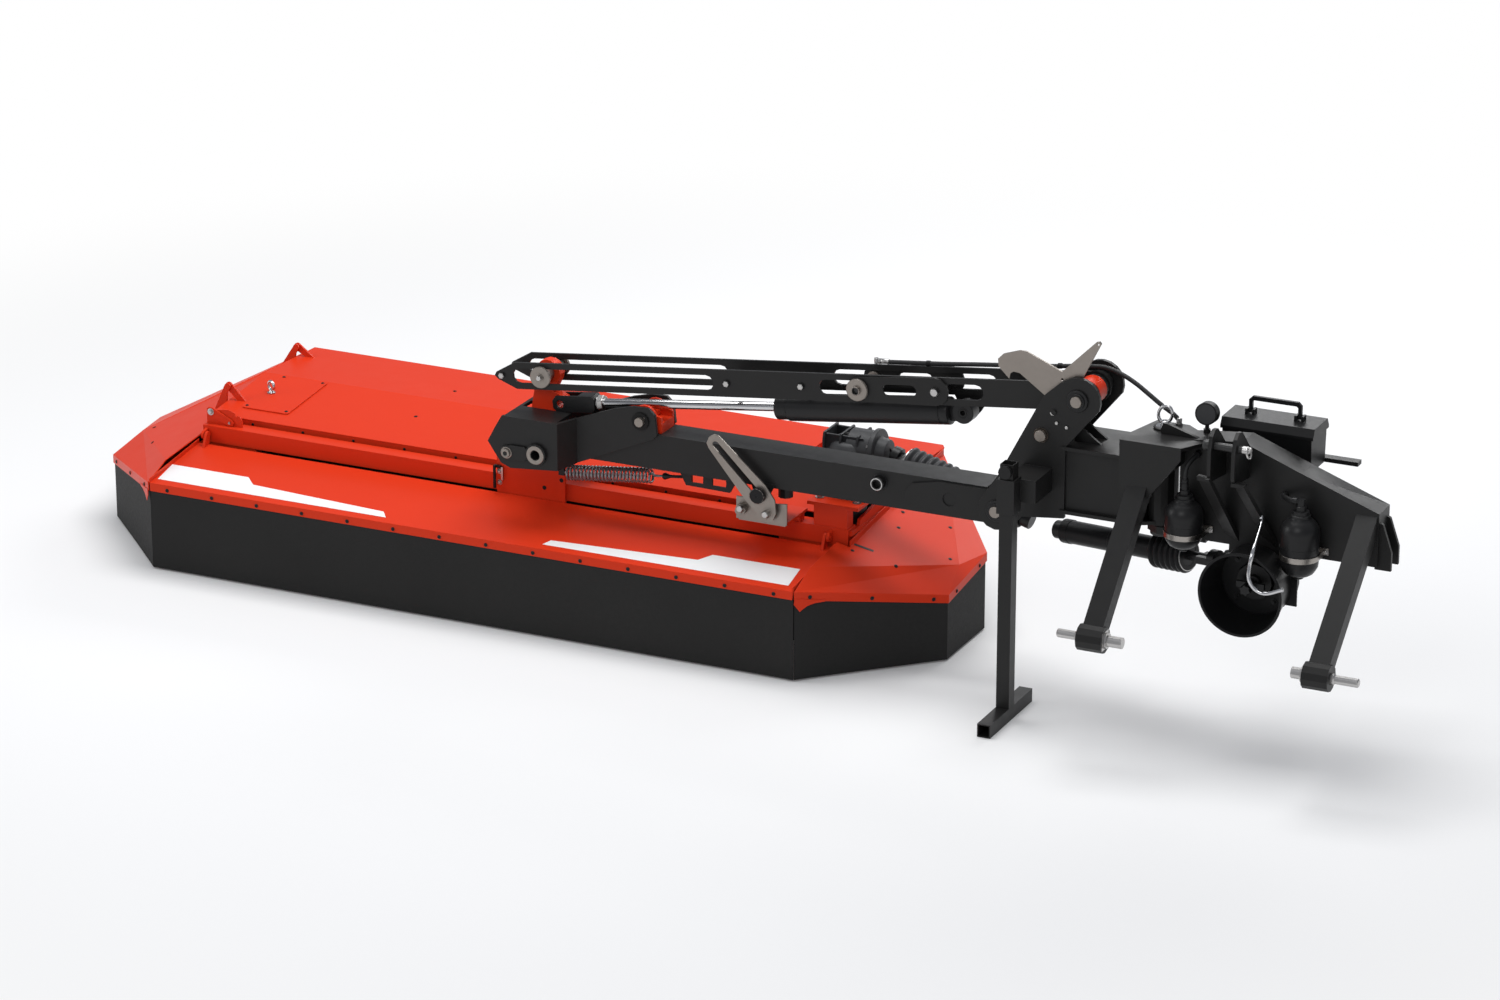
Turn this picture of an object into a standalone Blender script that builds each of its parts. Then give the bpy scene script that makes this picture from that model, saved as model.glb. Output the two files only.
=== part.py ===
# Rear-mounted disc mower with centre suspension: guarded deck, folding arm, three-point headstock.
# Metres, +Z up. X runs along the deck, -Y faces the tractor, the origin is the middle of the sole.
import bpy
import bmesh
from math import atan2, cos, hypot, pi, radians, sin
from mathutils import Matrix, Vector

for old in list(bpy.data.objects):
    bpy.data.objects.remove(old, do_unlink=True)

# clearances and sheet sizes
gap = 0.0003            # between two pieces that touch
run = 0.002             # between two pieces that move past each other
sheet_t = 0.004         # folded cover sheet
rubber_t = 0.005        # curtain
plate_t = 0.012         # welded plate
fineness = 0.62         # share of the segments asked for at each round

# deck
half_len = 1.217        # straight part of the front, half of it
disc_count = 7
disc_pitch = (half_len - 0.017) * 2 / (disc_count - 1)
front_y = -0.50         # front flange, measured from the line of the discs
rear_y = 0.65
chamfer_x = 0.386
chamfer_y = 0.384
side_len = 0.32
rear_chamfer_x = 0.363
flange_z = 0.317        # top of the front flange
flange_h = 0.030
slope_y = 0.122         # roof rise per metre to the rear
slope_x = 0.33          # roof fall per metre to the ends
curtain_low = 0.006
end_x = half_len + chamfer_x

beam_y0 = -0.153
beam_w = 0.060
beam_z0 = 0.360
beam_h = 0.060
beam_left = -half_len + 0.012
beam_right = half_len + 0.038
ear_x = (-half_len + 0.027, half_len - 0.022)      # hinge ears of the front cover

cover_rear_y = beam_y0 - 0.016
top_front_y = -0.078
top_fold_y = 0.30
top_front_z = 0.436
top_fold_z = 0.472
top_rear_z = 0.460
top_left = beam_left
top_right = beam_right + 0.009
right_seam = top_right + 0.006

# cutterbar and discs
bar_half_x = end_x - 0.118
bar_half_y = 0.150
bar_z0 = 0.022
bar_z1 = 0.080
skid_w = 0.300
disc_a = 0.190          # long half of the oval disc
disc_b = 0.135          # short half
disc_z = 0.104
knife_r = 0.246
spindle_r = 0.024

# arm and its pins: x and z of every pivot axis, which all run along Y
arm_y = -0.22
pin_arm = (1.854, 0.640)
pin_link = (2.124, 1.051)
pin_spare = (2.003, 0.920)
pin_yoke = (0.567, 0.741)
pin_deck = (0.220, 0.598)
pin_lock = (0.110, 0.590)
roller_a = (0.194, 0.838)
pin_eye = (1.696, 0.9215)
pin_rod = (0.242, 0.737)
pin_limit = (1.028, 0.490)
pin_hook = (2.044, 1.003)
arm_w = 0.120
arm_z0 = 0.575
arm_z1 = 0.697
arm_x0 = 0.372
yoke_pin_r = 0.019
cheek_gap = 0.185       # between the two pivot plates
cheek_t = 0.015

# link bars
link_y = 0.052          # inner face of the bars, from the arm's middle plane
bar_t = 0.010
bar_h = 0.092
slot_h = 0.052
slider_t = 0.008        # short plates that slide along the outside of the bars
slider_end = 1.432      # middle of the plates' bolt, along the bars

# headstock
swing_axis = (2.390, -0.250)
frame_y0 = -0.320
frame_y1 = -0.220
hitch_y = -0.720
hitch_z = 0.425
hitch_x = (2.346, 3.087)
bush_len = 0.085
pto_x = 2.745
pto_z = 0.556
stand_x = 1.961
stand_y = -0.489
tube_w = 0.045

link_dir = Vector((pin_link[0] - roller_a[0], 0, pin_link[1] - roller_a[1])).normalized()


def roof(x, y):
    """Height of the sloped end roof."""
    return flange_z - slope_x * (abs(x) - half_len) + slope_y * (y - front_y)


slope_top = (top_fold_z - top_front_z) / (top_fold_y - top_front_y)


def top_z(y):
    """Height of the main top panel."""
    if y < top_fold_y:
        return top_front_z + slope_top * (y - top_front_y)
    return top_fold_z + (top_rear_z - top_fold_z) * (y - top_fold_y) / (rear_y - top_fold_y)


# materials
def paint(name, colour, rough, metal=0.0):
    mat = bpy.data.materials.new(name)
    mat.use_nodes = True
    shader = mat.node_tree.nodes["Principled BSDF"]
    shader.inputs["Base Color"].default_value = (*colour, 1)
    shader.inputs["Roughness"].default_value = rough
    shader.inputs["Metallic"].default_value = metal
    mat.diffuse_color = (*colour, 1)
    return mat


finish = {
    "red": ((0.75, 0.06, 0.02), 0.35, 0.0),
    "dark": ((0.045, 0.047, 0.05), 0.45, 0.0),
    "rubber": ((0.03, 0.03, 0.03), 0.75, 0.0),
    "steel": ((0.45, 0.43, 0.41), 0.4, 1.0),
    "chrome": ((0.75, 0.75, 0.76), 0.12, 1.0),
    "cast": ((0.13, 0.135, 0.14), 0.5, 0.2),
    "plastic": ((0.012, 0.012, 0.013), 0.5, 0.0),
}


# bodies: each empty stands on its joint axis and carries the nodes of its body
bodies = {}


def body(name, parent, x, y, z):
    pivot = bpy.data.objects.new(name, None)
    pivot.empty_display_size = 0.05
    bpy.context.scene.collection.objects.link(pivot)
    place = Vector((x, y, z))
    bodies[name] = (pivot, place)
    if parent:
        base, base_place = bodies[parent]
        pivot.parent = base
        pivot.location = place - base_place
    else:
        pivot.location = place


# solid helpers: each returns a bmesh in world coordinates
def prism(points, axis, low, high):
    """Polygon swept along one axis; points are the other two coordinates in x, y, z order."""
    mesh = bmesh.new()
    if axis == "x":
        ring = [mesh.verts.new((low, a, b)) for a, b in points]
        move = Vector((high - low, 0, 0))
    elif axis == "y":
        ring = [mesh.verts.new((a, low, b)) for a, b in points]
        move = Vector((0, high - low, 0))
    else:
        ring = [mesh.verts.new((a, b, low)) for a, b in points]
        move = Vector((0, 0, high - low))
    face = mesh.faces.new(ring)
    grown = bmesh.ops.extrude_face_region(mesh, geom=[face])
    top = [v for v in grown["geom"] if isinstance(v, bmesh.types.BMVert)]
    bmesh.ops.translate(mesh, verts=top, vec=move)
    bmesh.ops.recalc_face_normals(mesh, faces=mesh.faces)
    return mesh


def block(x0, x1, y0, y1, z0, z1):
    return prism([(x0, y0), (x1, y0), (x1, y1), (x0, y1)], "z", z0, z1)


def lathe(profile, place, direction, count, turn=0.0):
    """Closed turned solid; profile is (radius, distance) pairs, on the axis at radius 0."""
    mesh = bmesh.new()
    if count > 8:
        count = 2 * round(count * fineness / 2)
    loop_back = profile[0][0] > 1e-9
    rings = []
    for radius, height in profile:
        if radius < 1e-9:
            rings.append([mesh.verts.new((0, 0, height))])
        else:
            rings.append([mesh.verts.new((radius * cos(turn + 2 * pi * k / count),
                                          radius * sin(turn + 2 * pi * k / count), height))
                          for k in range(count)])
    pairs = list(zip(rings, rings[1:]))
    if loop_back:
        pairs.append((rings[-1], rings[0]))
    for low, high in pairs:
        for k in range(count):
            n = (k + 1) % count
            if len(low) == 1:
                mesh.faces.new((low[0], high[n], high[k]))
            elif len(high) == 1:
                mesh.faces.new((low[k], low[n], high[0]))
            else:
                mesh.faces.new((low[k], low[n], high[n], high[k]))
    turned = Vector(direction).to_track_quat("Z", "Y").to_matrix().to_4x4()
    bmesh.ops.transform(mesh, matrix=Matrix.Translation(Vector(place)) @ turned, verts=mesh.verts)
    bmesh.ops.recalc_face_normals(mesh, faces=mesh.faces)
    return mesh


def rod(start, end, radius, count=16):
    span = Vector(end) - Vector(start)
    return lathe([(0, 0), (radius, 0), (radius, span.length), (0, span.length)], start, span, count)


def pipe(start, end, outer, inner, count=16):
    span = Vector(end) - Vector(start)
    tall = span.length
    return lathe([(outer, 0), (outer, tall), (inner, tall), (inner, 0)], start, span, count)


def pin_y(at, y0, y1, radius, count=16):
    return rod((at[0], y0, at[1]), (at[0], y1, at[1]), radius, count)


def sweep(points, radius, sides=8, square=None):
    """Tube of one section along a path, capped at both ends."""
    mesh = bmesh.new()
    path = [Vector(p) for p in points]
    side = None
    rings = []
    for k, here in enumerate(path):
        ahead = path[min(k + 1, len(path) - 1)] - path[max(k - 1, 0)]
        ahead.normalize()
        if side is None:
            guess = Vector((0, 0, 1)) if abs(ahead.z) < 0.9 else Vector((1, 0, 0))
            side = ahead.cross(guess).normalized()
        side = (side - ahead * side.dot(ahead)).normalized()
        up = ahead.cross(side)
        if square:
            half, tall = square
            spots = [(-half, -tall), (half, -tall), (half, tall), (-half, tall)]
        else:
            spots = [(radius * cos(2 * pi * i / sides), radius * sin(2 * pi * i / sides))
                     for i in range(sides)]
        rings.append([mesh.verts.new(here + side * a + up * b) for a, b in spots])
    size = len(rings[0])
    for low, high in zip(rings, rings[1:]):
        for i in range(size):
            n = (i + 1) % size
            mesh.faces.new((low[i], low[n], high[n], high[i]))
    mesh.faces.new(rings[0][::-1])
    mesh.faces.new(rings[-1])
    bmesh.ops.recalc_face_normals(mesh, faces=mesh.faces)
    return mesh


def bore(start, end, radius, count=16):
    """Tool for a hole whose facets clear a pin of this radius at any turn."""
    span = Vector(end) - Vector(start)
    sides = 2 * round(count * fineness / 2) if count > 8 else count
    wide = (radius + gap) / cos(pi / sides)
    return lathe([(0, 0), (wide, 0), (wide, span.length), (0, span.length)], start, span, count, pi / sides)


def bore_y(at, radius, count=16):
    return bore((at[0], arm_y - 0.3, at[1]), (at[0], arm_y + 0.3, at[1]), radius, count)


def arc(cx, cy, radius, start, end, steps):
    """Points of an arc in degrees, counted anticlockwise when end is above start."""
    return [(cx + radius * cos(radians(start + (end - start) * k / steps)),
             cy + radius * sin(radians(start + (end - start) * k / steps)))
            for k in range(steps + 1)]


def slot(a, b, radius, steps=5):
    """Outline of a slot with round ends between two centres."""
    angle = atan2(b[1] - a[1], b[0] - a[0]) * 180 / pi
    return (arc(a[0], a[1], radius, angle + 90, angle + 270, steps)
            + arc(b[0], b[1], radius, angle - 90, angle + 90, steps))


def shell(verts, faces, thick):
    """Folded sheet: open faces thickened evenly towards their back."""
    mesh = bmesh.new()
    spots = [mesh.verts.new(v) for v in verts]
    for f in faces:
        mesh.faces.new([spots[k] for k in f])
    return mesh, thick


def joined(first, others, operation):
    """Result of one exact boolean step after another."""
    mesh = bpy.data.meshes.new("step")
    first.to_mesh(mesh)
    holder = bpy.data.objects.new("step", mesh)
    bpy.context.scene.collection.objects.link(holder)
    for other in others:
        tool_mesh = bpy.data.meshes.new("tool")
        other.to_mesh(tool_mesh)
        tool = bpy.data.objects.new("tool", tool_mesh)
        bpy.context.scene.collection.objects.link(tool)
        step = holder.modifiers.new("step", "BOOLEAN")
        step.operation = operation
        step.solver = "EXACT"
        step.object = tool
        bpy.context.view_layer.update()
        done = bpy.data.meshes.new_from_object(holder.evaluated_get(
            bpy.context.evaluated_depsgraph_get()))
        holder.modifiers.remove(step)
        holder.data = done
        bpy.data.objects.remove(tool, do_unlink=True)
    result = bmesh.new()
    result.from_mesh(holder.data)
    bpy.data.objects.remove(holder, do_unlink=True)
    bmesh.ops.remove_doubles(result, verts=result.verts, dist=2e-6)
    bmesh.ops.dissolve_limit(result, angle_limit=radians(0.3), verts=result.verts, edges=result.edges)
    return result


def fuse(*solids):
    return joined(solids[0], solids[1:], "UNION")


def cut(solid, *tools):
    return joined(solid, tools, "DIFFERENCE")


def keep(solid, tool):
    return joined(solid, [tool], "INTERSECT")


def sheet_solid(pair):
    """Closed solid of a folded sheet."""
    mesh_in, thick = pair
    bmesh.ops.recalc_face_normals(mesh_in, faces=mesh_in.faces)
    up = sum((f.normal.z * f.calc_area() for f in mesh_in.faces), 0.0)
    if up < -1e-6:
        bmesh.ops.reverse_faces(mesh_in, faces=mesh_in.faces)
    mesh = bpy.data.meshes.new("sheet")
    mesh_in.to_mesh(mesh)
    holder = bpy.data.objects.new("sheet", mesh)
    bpy.context.scene.collection.objects.link(holder)
    wall = holder.modifiers.new("wall", "SOLIDIFY")
    wall.thickness = thick
    wall.offset = -1
    wall.use_even_offset = True
    wall.use_quality_normals = True
    bpy.context.view_layer.update()
    done = bpy.data.meshes.new_from_object(holder.evaluated_get(
        bpy.context.evaluated_depsgraph_get()))
    result = bmesh.new()
    result.from_mesh(done)
    bpy.data.objects.remove(holder, do_unlink=True)
    bmesh.ops.recalc_face_normals(result, faces=result.faces)
    return result


def node(name, mesh, colour, owner, round_angle=None):
    """One named piece, with its origin on the joint axis of its body."""
    pivot, place = bodies[owner]
    bmesh.ops.translate(mesh, verts=mesh.verts, vec=-place)
    data = bpy.data.meshes.new(name)
    mesh.to_mesh(data)
    piece = bpy.data.objects.new(name, data)
    bpy.context.scene.collection.objects.link(piece)
    piece.parent = pivot
    data.materials.append(paint(name + "_finish", *finish[colour]))
    if round_angle:
        data.shade_smooth()
        data.set_sharp_from_angle(angle=radians(round_angle))
    return piece


def offset_path(points, inward):
    """Open path moved to its left by a distance, with mitred corners."""
    moved = []
    for k, (x, y) in enumerate(points):
        normals = []
        for a, b in ((k - 1, k), (k, k + 1)):
            if 0 <= a and b < len(points):
                dx = points[b][0] - points[a][0]
                dy = points[b][1] - points[a][1]
                size = hypot(dx, dy)
                normals.append(Vector((-dy / size, dx / size)))
        mid = sum(normals, Vector((0, 0))).normalized()
        reach = inward / mid.dot(normals[0])
        moved.append((x + mid.x * reach, y + mid.y * reach))
    return moved


def curtain(path, tops, inward):
    """Hanging strip of rubber along a path, its outer face inward from that path."""
    outer = offset_path(path, inward)
    inner = offset_path(path, inward + rubber_t)
    mesh = bmesh.new()
    rows = []
    for (ox, oy), (ix, iy), top in zip(outer, inner, tops):
        rows.append([mesh.verts.new(v) for v in ((ox, oy, curtain_low), (ox, oy, top),
                                                 (ix, iy, top), (ix, iy, curtain_low))])
    for a, b in zip(rows, rows[1:]):
        for k in range(4):
            n = (k + 1) % 4
            mesh.faces.new((a[k], a[n], b[n], b[k]))
    mesh.faces.new(rows[0])
    mesh.faces.new(rows[-1][::-1])
    bmesh.ops.recalc_face_normals(mesh, faces=mesh.faces)
    return mesh


def moved_copy(mesh, matrix):
    twin = mesh.copy()
    bmesh.ops.transform(twin, matrix=matrix, verts=twin.verts)
    return twin


def on_link(along, across=0.0):
    """x, z of a spot on the link bars, measured from the front roller along the bars."""
    side = Vector((-link_dir.z, 0, link_dir.x))
    spot = Vector((roller_a[0], 0, roller_a[1])) + link_dir * along + side * across
    return spot.x, spot.z


def mirror_pair(points, low, high):
    """Two equal plates, one each side of the arm's middle plane."""
    return prism(points, "y", arm_y - high, arm_y - low), prism(points, "y", arm_y + low, arm_y + high)


# where each body turns or slides
cover_axis = (-0.172, 0.392)
flap_axis = (-half_len - 0.0025, 0.497)
lid_axis = (0.0005, 0.9665)
handle_at = (-0.075, 1.0125)
roller_b_at = 1.161
roller_b = on_link(roller_b_at)
drive_mid = (1.905, -0.045, 0.500)
drive_right = (2.611, -0.270, 0.568)
gearbox_x = disc_pitch * (disc_count - 1) / 2
drive_left = (gearbox_x + 0.135, 0.0, 0.650)

body("headstock_body", None, swing_axis[0], swing_axis[1], 0.65)
body("swing_body", "headstock_body", swing_axis[0], swing_axis[1], 0.65)
body("arm_body", "swing_body", pin_arm[0], arm_y, pin_arm[1])
body("yoke_body", "arm_body", pin_yoke[0], arm_y, pin_yoke[1])
body("deck_body", "yoke_body", pin_deck[0], arm_y, pin_deck[1])
body("front_guard_body", "deck_body", 0, *cover_axis)
body("end_guard_body", "deck_body", flap_axis[0], 0, flap_axis[1])
body("limiter_body", "deck_body", pin_limit[0], arm_y, pin_limit[1])
for number in range(disc_count):
    body(f"disc_{number + 1}_body", "deck_body", (number - 3) * disc_pitch, 0, disc_z)
body("link_body", "swing_body", pin_link[0], arm_y, pin_link[1])
body("slider_body", "link_body", *[(on_link(1.3)[0]), arm_y, on_link(1.3)[1]])
body("roller_front_body", "link_body", roller_a[0], arm_y, roller_a[1])
body("roller_rear_body", "slider_body", roller_b[0], arm_y, roller_b[1])
body("ram_body", "link_body", pin_eye[0], arm_y, pin_eye[1])
body("ram_rod_body", "ram_body", pin_rod[0], arm_y, pin_rod[1])
body("hook_body", "swing_body", pin_hook[0], arm_y, pin_hook[1])
body("stand_body", "swing_body", stand_x, stand_y, 0)
body("shaft_right_body", "headstock_body", *drive_right)
body("shaft_left_body", "deck_body", *drive_left)
body("input_body", "headstock_body", pto_x, -0.43, pto_z)
body("lid_body", "headstock_body", 2.69, *lid_axis)
body("handle_body", "lid_body", 2.69, *handle_at)

# deck frame: box beam, end rails, outriggers to the cutterbar, gearbox seat, cover ears
beam = block(beam_left, beam_right, beam_y0, beam_y0 + beam_w, beam_z0, beam_z0 + beam_h)
under = sheet_t + gap + 0.0002
rail_side = [(beam_y0 + 0.01, 0.395), (0.585, 0.395), (0.585, top_z(0.585) - under),
             (top_fold_y, top_fold_z - under), (top_front_y + 0.008, top_z(top_front_y + 0.008) - under),
             (top_front_y - 0.002, 0.412), (beam_y0 + 0.01, 0.412)]
rails = [prism(rail_side, "x", beam_left, beam_left + 0.03),
         prism(rail_side, "x", beam_right - 0.003, right_seam - sheet_t - 0.0025),
         block(beam_right - 0.002, right_seam - sheet_t - gap, beam_y0 + 0.012, 0.10, 0.3955, 0.409)]
out_y = (beam_y0 + 0.008, beam_y0 + 0.048)
foot_z = bar_z1 + gap
foot_x = bar_half_x - 0.007
rig = [(half_len - 0.217, 0.375), (half_len - 0.217, 0.330), (half_len + 0.033, 0.296), (foot_x - 0.043, 0.226),
       (foot_x - 0.043, foot_z), (foot_x, foot_z), (foot_x, 0.252), (half_len + 0.048, 0.330),
       (half_len + 0.011, 0.345), (half_len - 0.017, 0.375)]
outriggers = [prism(rig, "y", *out_y), prism([(-x, z) for x, z in rig], "y", *out_y)]
seat_z = 0.488
seat = [block(gearbox_x - 0.07, gearbox_x + 0.05, beam_y0 + 0.002, beam_y0 + 0.05, 0.41, seat_z + 0.006),
        cut(block(gearbox_x - 0.095, gearbox_x + 0.09, beam_y0 + 0.002, 0.085, seat_z, seat_z + plate_t),
            rod((gearbox_x, 0, 0.45), (gearbox_x, 0, 0.55), 0.058, 24))]
ear = [(beam_y0 + 0.004, 0.372), (beam_y0 + 0.004, 0.412)] + arc(*cover_axis, 0.016, 75, 260, 5)
pin_r = 0.006
ears = []
for x in ear_x:
    ears.append(cut(prism(ear, "x", x - 0.005, x + 0.005),
                    bore((x - 0.02, *cover_axis), (x + 0.02, *cover_axis), pin_r, 12)))
deck_frame = fuse(beam, *rails, *outriggers, *seat, *ears)

# upright that carries the front roller and the ram's lug, bolted to the beam
cheek = [(-0.044, 0.345), (0.215, 0.345), (0.215, 0.640), (0.060, 0.640), (-0.044, 0.520)]
cheek_face = beam_y0 - gap
tower = ([(0.092, 0.565), (0.258, 0.565), (0.258, 0.650), (0.225, 0.697)] + [(0.225, 0.704)]
         + arc(*pin_rod, 0.027, -95, 60, 4) + [(0.214, 0.776)] + arc(*roller_a, 0.046, -25, 200, 9)
         + [(0.130, 0.700), (0.126, 0.690)])
tower_half = 0.018
tower_solid = prism(tower, "y", arm_y - tower_half, arm_y + tower_half)
housing = block(0.094, 0.256, arm_y - tower_half + 0.001, cheek_face, 0.560, 0.640)
deck_bush_r = 0.024
upright = cut(fuse(tower_solid, housing, prism(cheek, "y", cheek_face - plate_t, cheek_face)),
              bore_y(pin_deck, deck_bush_r, 20), pin_y(pin_rod, -0.5, 0, 0.0133, 16))
node("upright", upright, "red", "deck_body", 30)

# covers
xl = -half_len + sheet_t
xr = half_len - sheet_t
rear_z = flange_z + slope_y * (cover_rear_y - front_y)
fold = 0.014
cover_rows = [(front_y, flange_z - flange_h), (front_y, flange_z), (cover_rear_y, rear_z)]
verts = [(x, y, z) for x in (xl, xr) for y, z in cover_rows]
verts += [(x, y, z + fold) for x in (xl, xr) for y, z in cover_rows[1:]]
faces = [(0, 3, 4, 1), (1, 4, 5, 2), (1, 2, 7, 6), (4, 8, 9, 5)]
front = sheet_solid(shell(verts, faces, sheet_t))
lugs = []
for x, away in zip(ear_x, (1, -1)):
    lug = [(cover_rear_y - 0.035, rear_z - 0.006), (cover_rear_y - 0.001, rear_z - 0.002)] \
        + arc(*cover_axis, 0.013, -15, 165, 5)
    base = x + away * 0.0125
    lugs.append(prism(lug, "x", base - 0.005, base + 0.005))
    lugs.append(rod((base, *cover_axis), (x - away * 0.0075, *cover_axis), pin_r, 12))
node("front_cover", fuse(front, *lugs), "red", "front_guard_body")

rows = [(top_front_y, top_front_z), (top_fold_y, top_fold_z), (rear_y, top_rear_z), (rear_y, 0.30)]
cut_y = 0.608
verts = [(x, y, z) for x in (top_left + -0.0125, top_right) for y, z in rows]
faces = [(0, 4, 5, 1), (1, 5, 6, 2), (2, 6, 7, 3)]
panel = sheet_solid(shell(verts, faces, sheet_t))
corner = prism([(top_right + 0.01, cut_y), (top_right + 0.01, rear_y + 0.02), (top_right - 0.028, rear_y + 0.02)],
               "z", 0.25, 0.6)
pocket = (gearbox_x - 0.330, gearbox_x - 0.140, 0.060, 0.600, 0.400)
tray = cut(block(pocket[0] - sheet_t, pocket[1] + sheet_t, pocket[2] - sheet_t, pocket[3] + sheet_t,
                 pocket[4] - sheet_t, top_z(pocket[3])),
           block(pocket[0], pocket[1], pocket[2], pocket[3], pocket[4], 0.6))
tray = cut(tray, prism([(top_front_y, top_front_z - 0.001), (top_fold_y, top_fold_z - 0.001),
                        (rear_y, top_rear_z - 0.001), (rear_y, 0.6), (top_front_y, 0.6)],
                       "x", pocket[0] - 0.07, pocket[1] + 0.14))
hinge_ears = []
for y in (0.05, 0.53):
    top_ear = [(flap_axis[0] + 0.0345, top_z(y) - 0.002), (flap_axis[0] + 0.0695, top_z(y) - 0.002)] \
        + arc(*flap_axis, 0.014, 60, 250, 6)
    hinge_ears.append(cut(prism(top_ear, "y", y, y + 0.008),
                          bore((flap_axis[0], y - 0.01, flap_axis[1]),
                               (flap_axis[0], y + 0.02, flap_axis[1]), pin_r, 12)))
top = fuse(cut(panel, corner, block(*pocket[:4], 0.38, 0.6),
               block(gearbox_x - 0.075, gearbox_x + 0.075, -0.09, 0.075, 0.38, 0.6)), tray, *hinge_ears)
node("top_cover", top, "red", "deck_body")


def end_points(side, inner, rear):
    """Corners of an end roof, front to rear, for the left (-1) or right (+1) end."""
    return [(side * inner, front_y + 0.0, flange_z),
            (side * end_x, front_y + chamfer_y, roof(end_x, front_y + chamfer_y)),
            (side * end_x, front_y + chamfer_y + side_len, roof(end_x, front_y + chamfer_y + side_len)),
            (side * rear[0], rear[1], rear[2])]


inner_x = half_len + 0.0045
ridge_front = (inner_x, front_y + 0.119, 0.362)
ridge_side = (end_x - 0.031, 0.040, 0.284)
left_pts = end_points(-1, inner_x, (half_len + 0.023, rear_y, 0.446))
verts = left_pts + [(-inner_x, rear_y, 0.447), (-ridge_front[0], *ridge_front[1:]),
                    (-ridge_side[0], *ridge_side[1:])]
verts += [(x, y, z - flange_h) for x, y, z in left_pts]
faces = [(0, 5, 6, 1), (1, 6, 2), (6, 5, 4), (6, 4, 3), (6, 3, 2),
         (0, 1, 8, 7), (1, 2, 9, 8), (2, 3, 10, 9)]
flap = sheet_solid(shell(verts, faces, sheet_t))
flap_lugs = []
for y in (0.05, 0.53):
    low = 0.365 + 0.078 * (y + 0.381) - 0.008
    flap_lug = [(flap_axis[0] - 0.0655, low - 0.010), (flap_axis[0] - 0.0065, low), (flap_axis[0] - 0.002, 0.474)] \
        + arc(*flap_axis, 0.012, -10, 170, 5)
    flap_lugs.append(prism(flap_lug, "y", y - 0.0105, y - 0.0025))
    flap_lugs.append(rod((flap_axis[0], y - 0.006, flap_axis[1]),
                         (flap_axis[0], y + 0.010, flap_axis[1]), pin_r, 12))
node("left_flap", fuse(flap, *flap_lugs), "red", "end_guard_body")

step_y = -0.1655
corner_y = 0.607
right_pts = end_points(1, inner_x, (right_seam, corner_y, 0.442))
verts = right_pts + [(right_seam, step_y, 0.366), (inner_x, step_y, 0.378), ridge_front, ridge_side]
verts += [(x, y, z - flange_h) for x, y, z in right_pts]
verts += [(right_seam, corner_y, 0.442 + 0.022), (right_seam, step_y, 0.366 + 0.022)]
faces = [(0, 1, 7, 6), (1, 2, 7), (7, 4, 6), (4, 5, 6), (7, 3, 4), (7, 2, 3),
         (0, 8, 9, 1), (1, 9, 10, 2), (2, 10, 11, 3), (4, 3, 12, 13)]
node("right_cover", sheet_solid(shell(verts, faces, sheet_t)), "red", "deck_body")

# hatch with its lifting eye
hatch = (-half_len + 0.077, -half_len + 0.262, 0.000, 0.290)
mesh = bmesh.new()
lift = gap + 0.0004
low = [mesh.verts.new((x, y, top_z(y) + lift)) for x, y in
       ((hatch[0], hatch[2]), (hatch[1], hatch[2]), (hatch[1], hatch[3]), (hatch[0], hatch[3]))]
high = [mesh.verts.new(v.co + Vector((0, 0, 0.004))) for v in low]
mesh.faces.new(low[::-1])
mesh.faces.new(high)
for k in range(4):
    n = (k + 1) % 4
    mesh.faces.new((low[k], low[n], high[n], high[k]))
eye_at = (hatch[0] + 0.040, 0.140)
eye_z = top_z(eye_at[1]) + 0.030
ring = [(0.016 + 0.0055 * cos(a * pi / 3), 0.0055 * sin(a * pi / 3)) for a in range(6)]
node("hatch", fuse(mesh, rod((*eye_at, eye_z - 0.028), (*eye_at, eye_z - 0.014), 0.009, 12),
                   lathe(ring, (*eye_at, eye_z), (0.5, 1, 0), 14)), "red", "deck_body")

# curtains
drop = 0.006
node("curtain_front", curtain([(-half_len + 0.012, front_y), (half_len - 0.012, front_y)],
                              [flange_z - drop - 0.002] * 2, sheet_t + gap), "rubber", "front_guard_body")
left_path = [(p[0], p[1]) for p in left_pts]
left_path[0] = (-half_len - 0.008, front_y + 0.0037)
node("curtain_left", curtain(left_path[::-1], [p[2] - drop - 0.010 for p in left_pts][::-1],
                             sheet_t + 0.001), "rubber", "end_guard_body")
right_path = [(p[0], p[1]) for p in right_pts]
right_path[0] = (half_len + 0.008, front_y + 0.0037)
node("curtain_right", curtain(right_path, [p[2] - drop - 0.010 for p in right_pts],
                              sheet_t + 0.001), "rubber", "deck_body")
node("curtain_rear", curtain([(half_len + 0.008, rear_y), (-half_len + 0.012, rear_y)], [0.40, 0.40], sheet_t + gap),
     "rubber", "deck_body")

# cutterbar with its shoes, discs, knives
section = [(-0.15, 0.042), (-0.125, bar_z0), (0.125, bar_z0), (0.15, 0.042), (0.15, 0.062),
           (0.115, bar_z1), (-0.115, bar_z1), (-0.15, 0.062)]
shoe = [(-0.190, 0.052), (-0.160, 0.0), (0.140, 0.0), (0.185, 0.020), (0.185, 0.030), (-0.120, 0.030),
        (-0.175, 0.060)]
housing = prism(section, "x", -bar_half_x, bar_half_x)
spots = [(k - 3) * disc_pitch for k in range(disc_count)]
shoes = [prism(shoe, "x", x - skid_w / 2, x + skid_w / 2) for x in spots]
well_z = 0.045
wells = [bore((x, 0, well_z), (x, 0, 0.2), spindle_r + run, 12) for x in spots]
node("cutterbar", cut(fuse(housing, *shoes), *wells), "dark", "deck_body")

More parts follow.
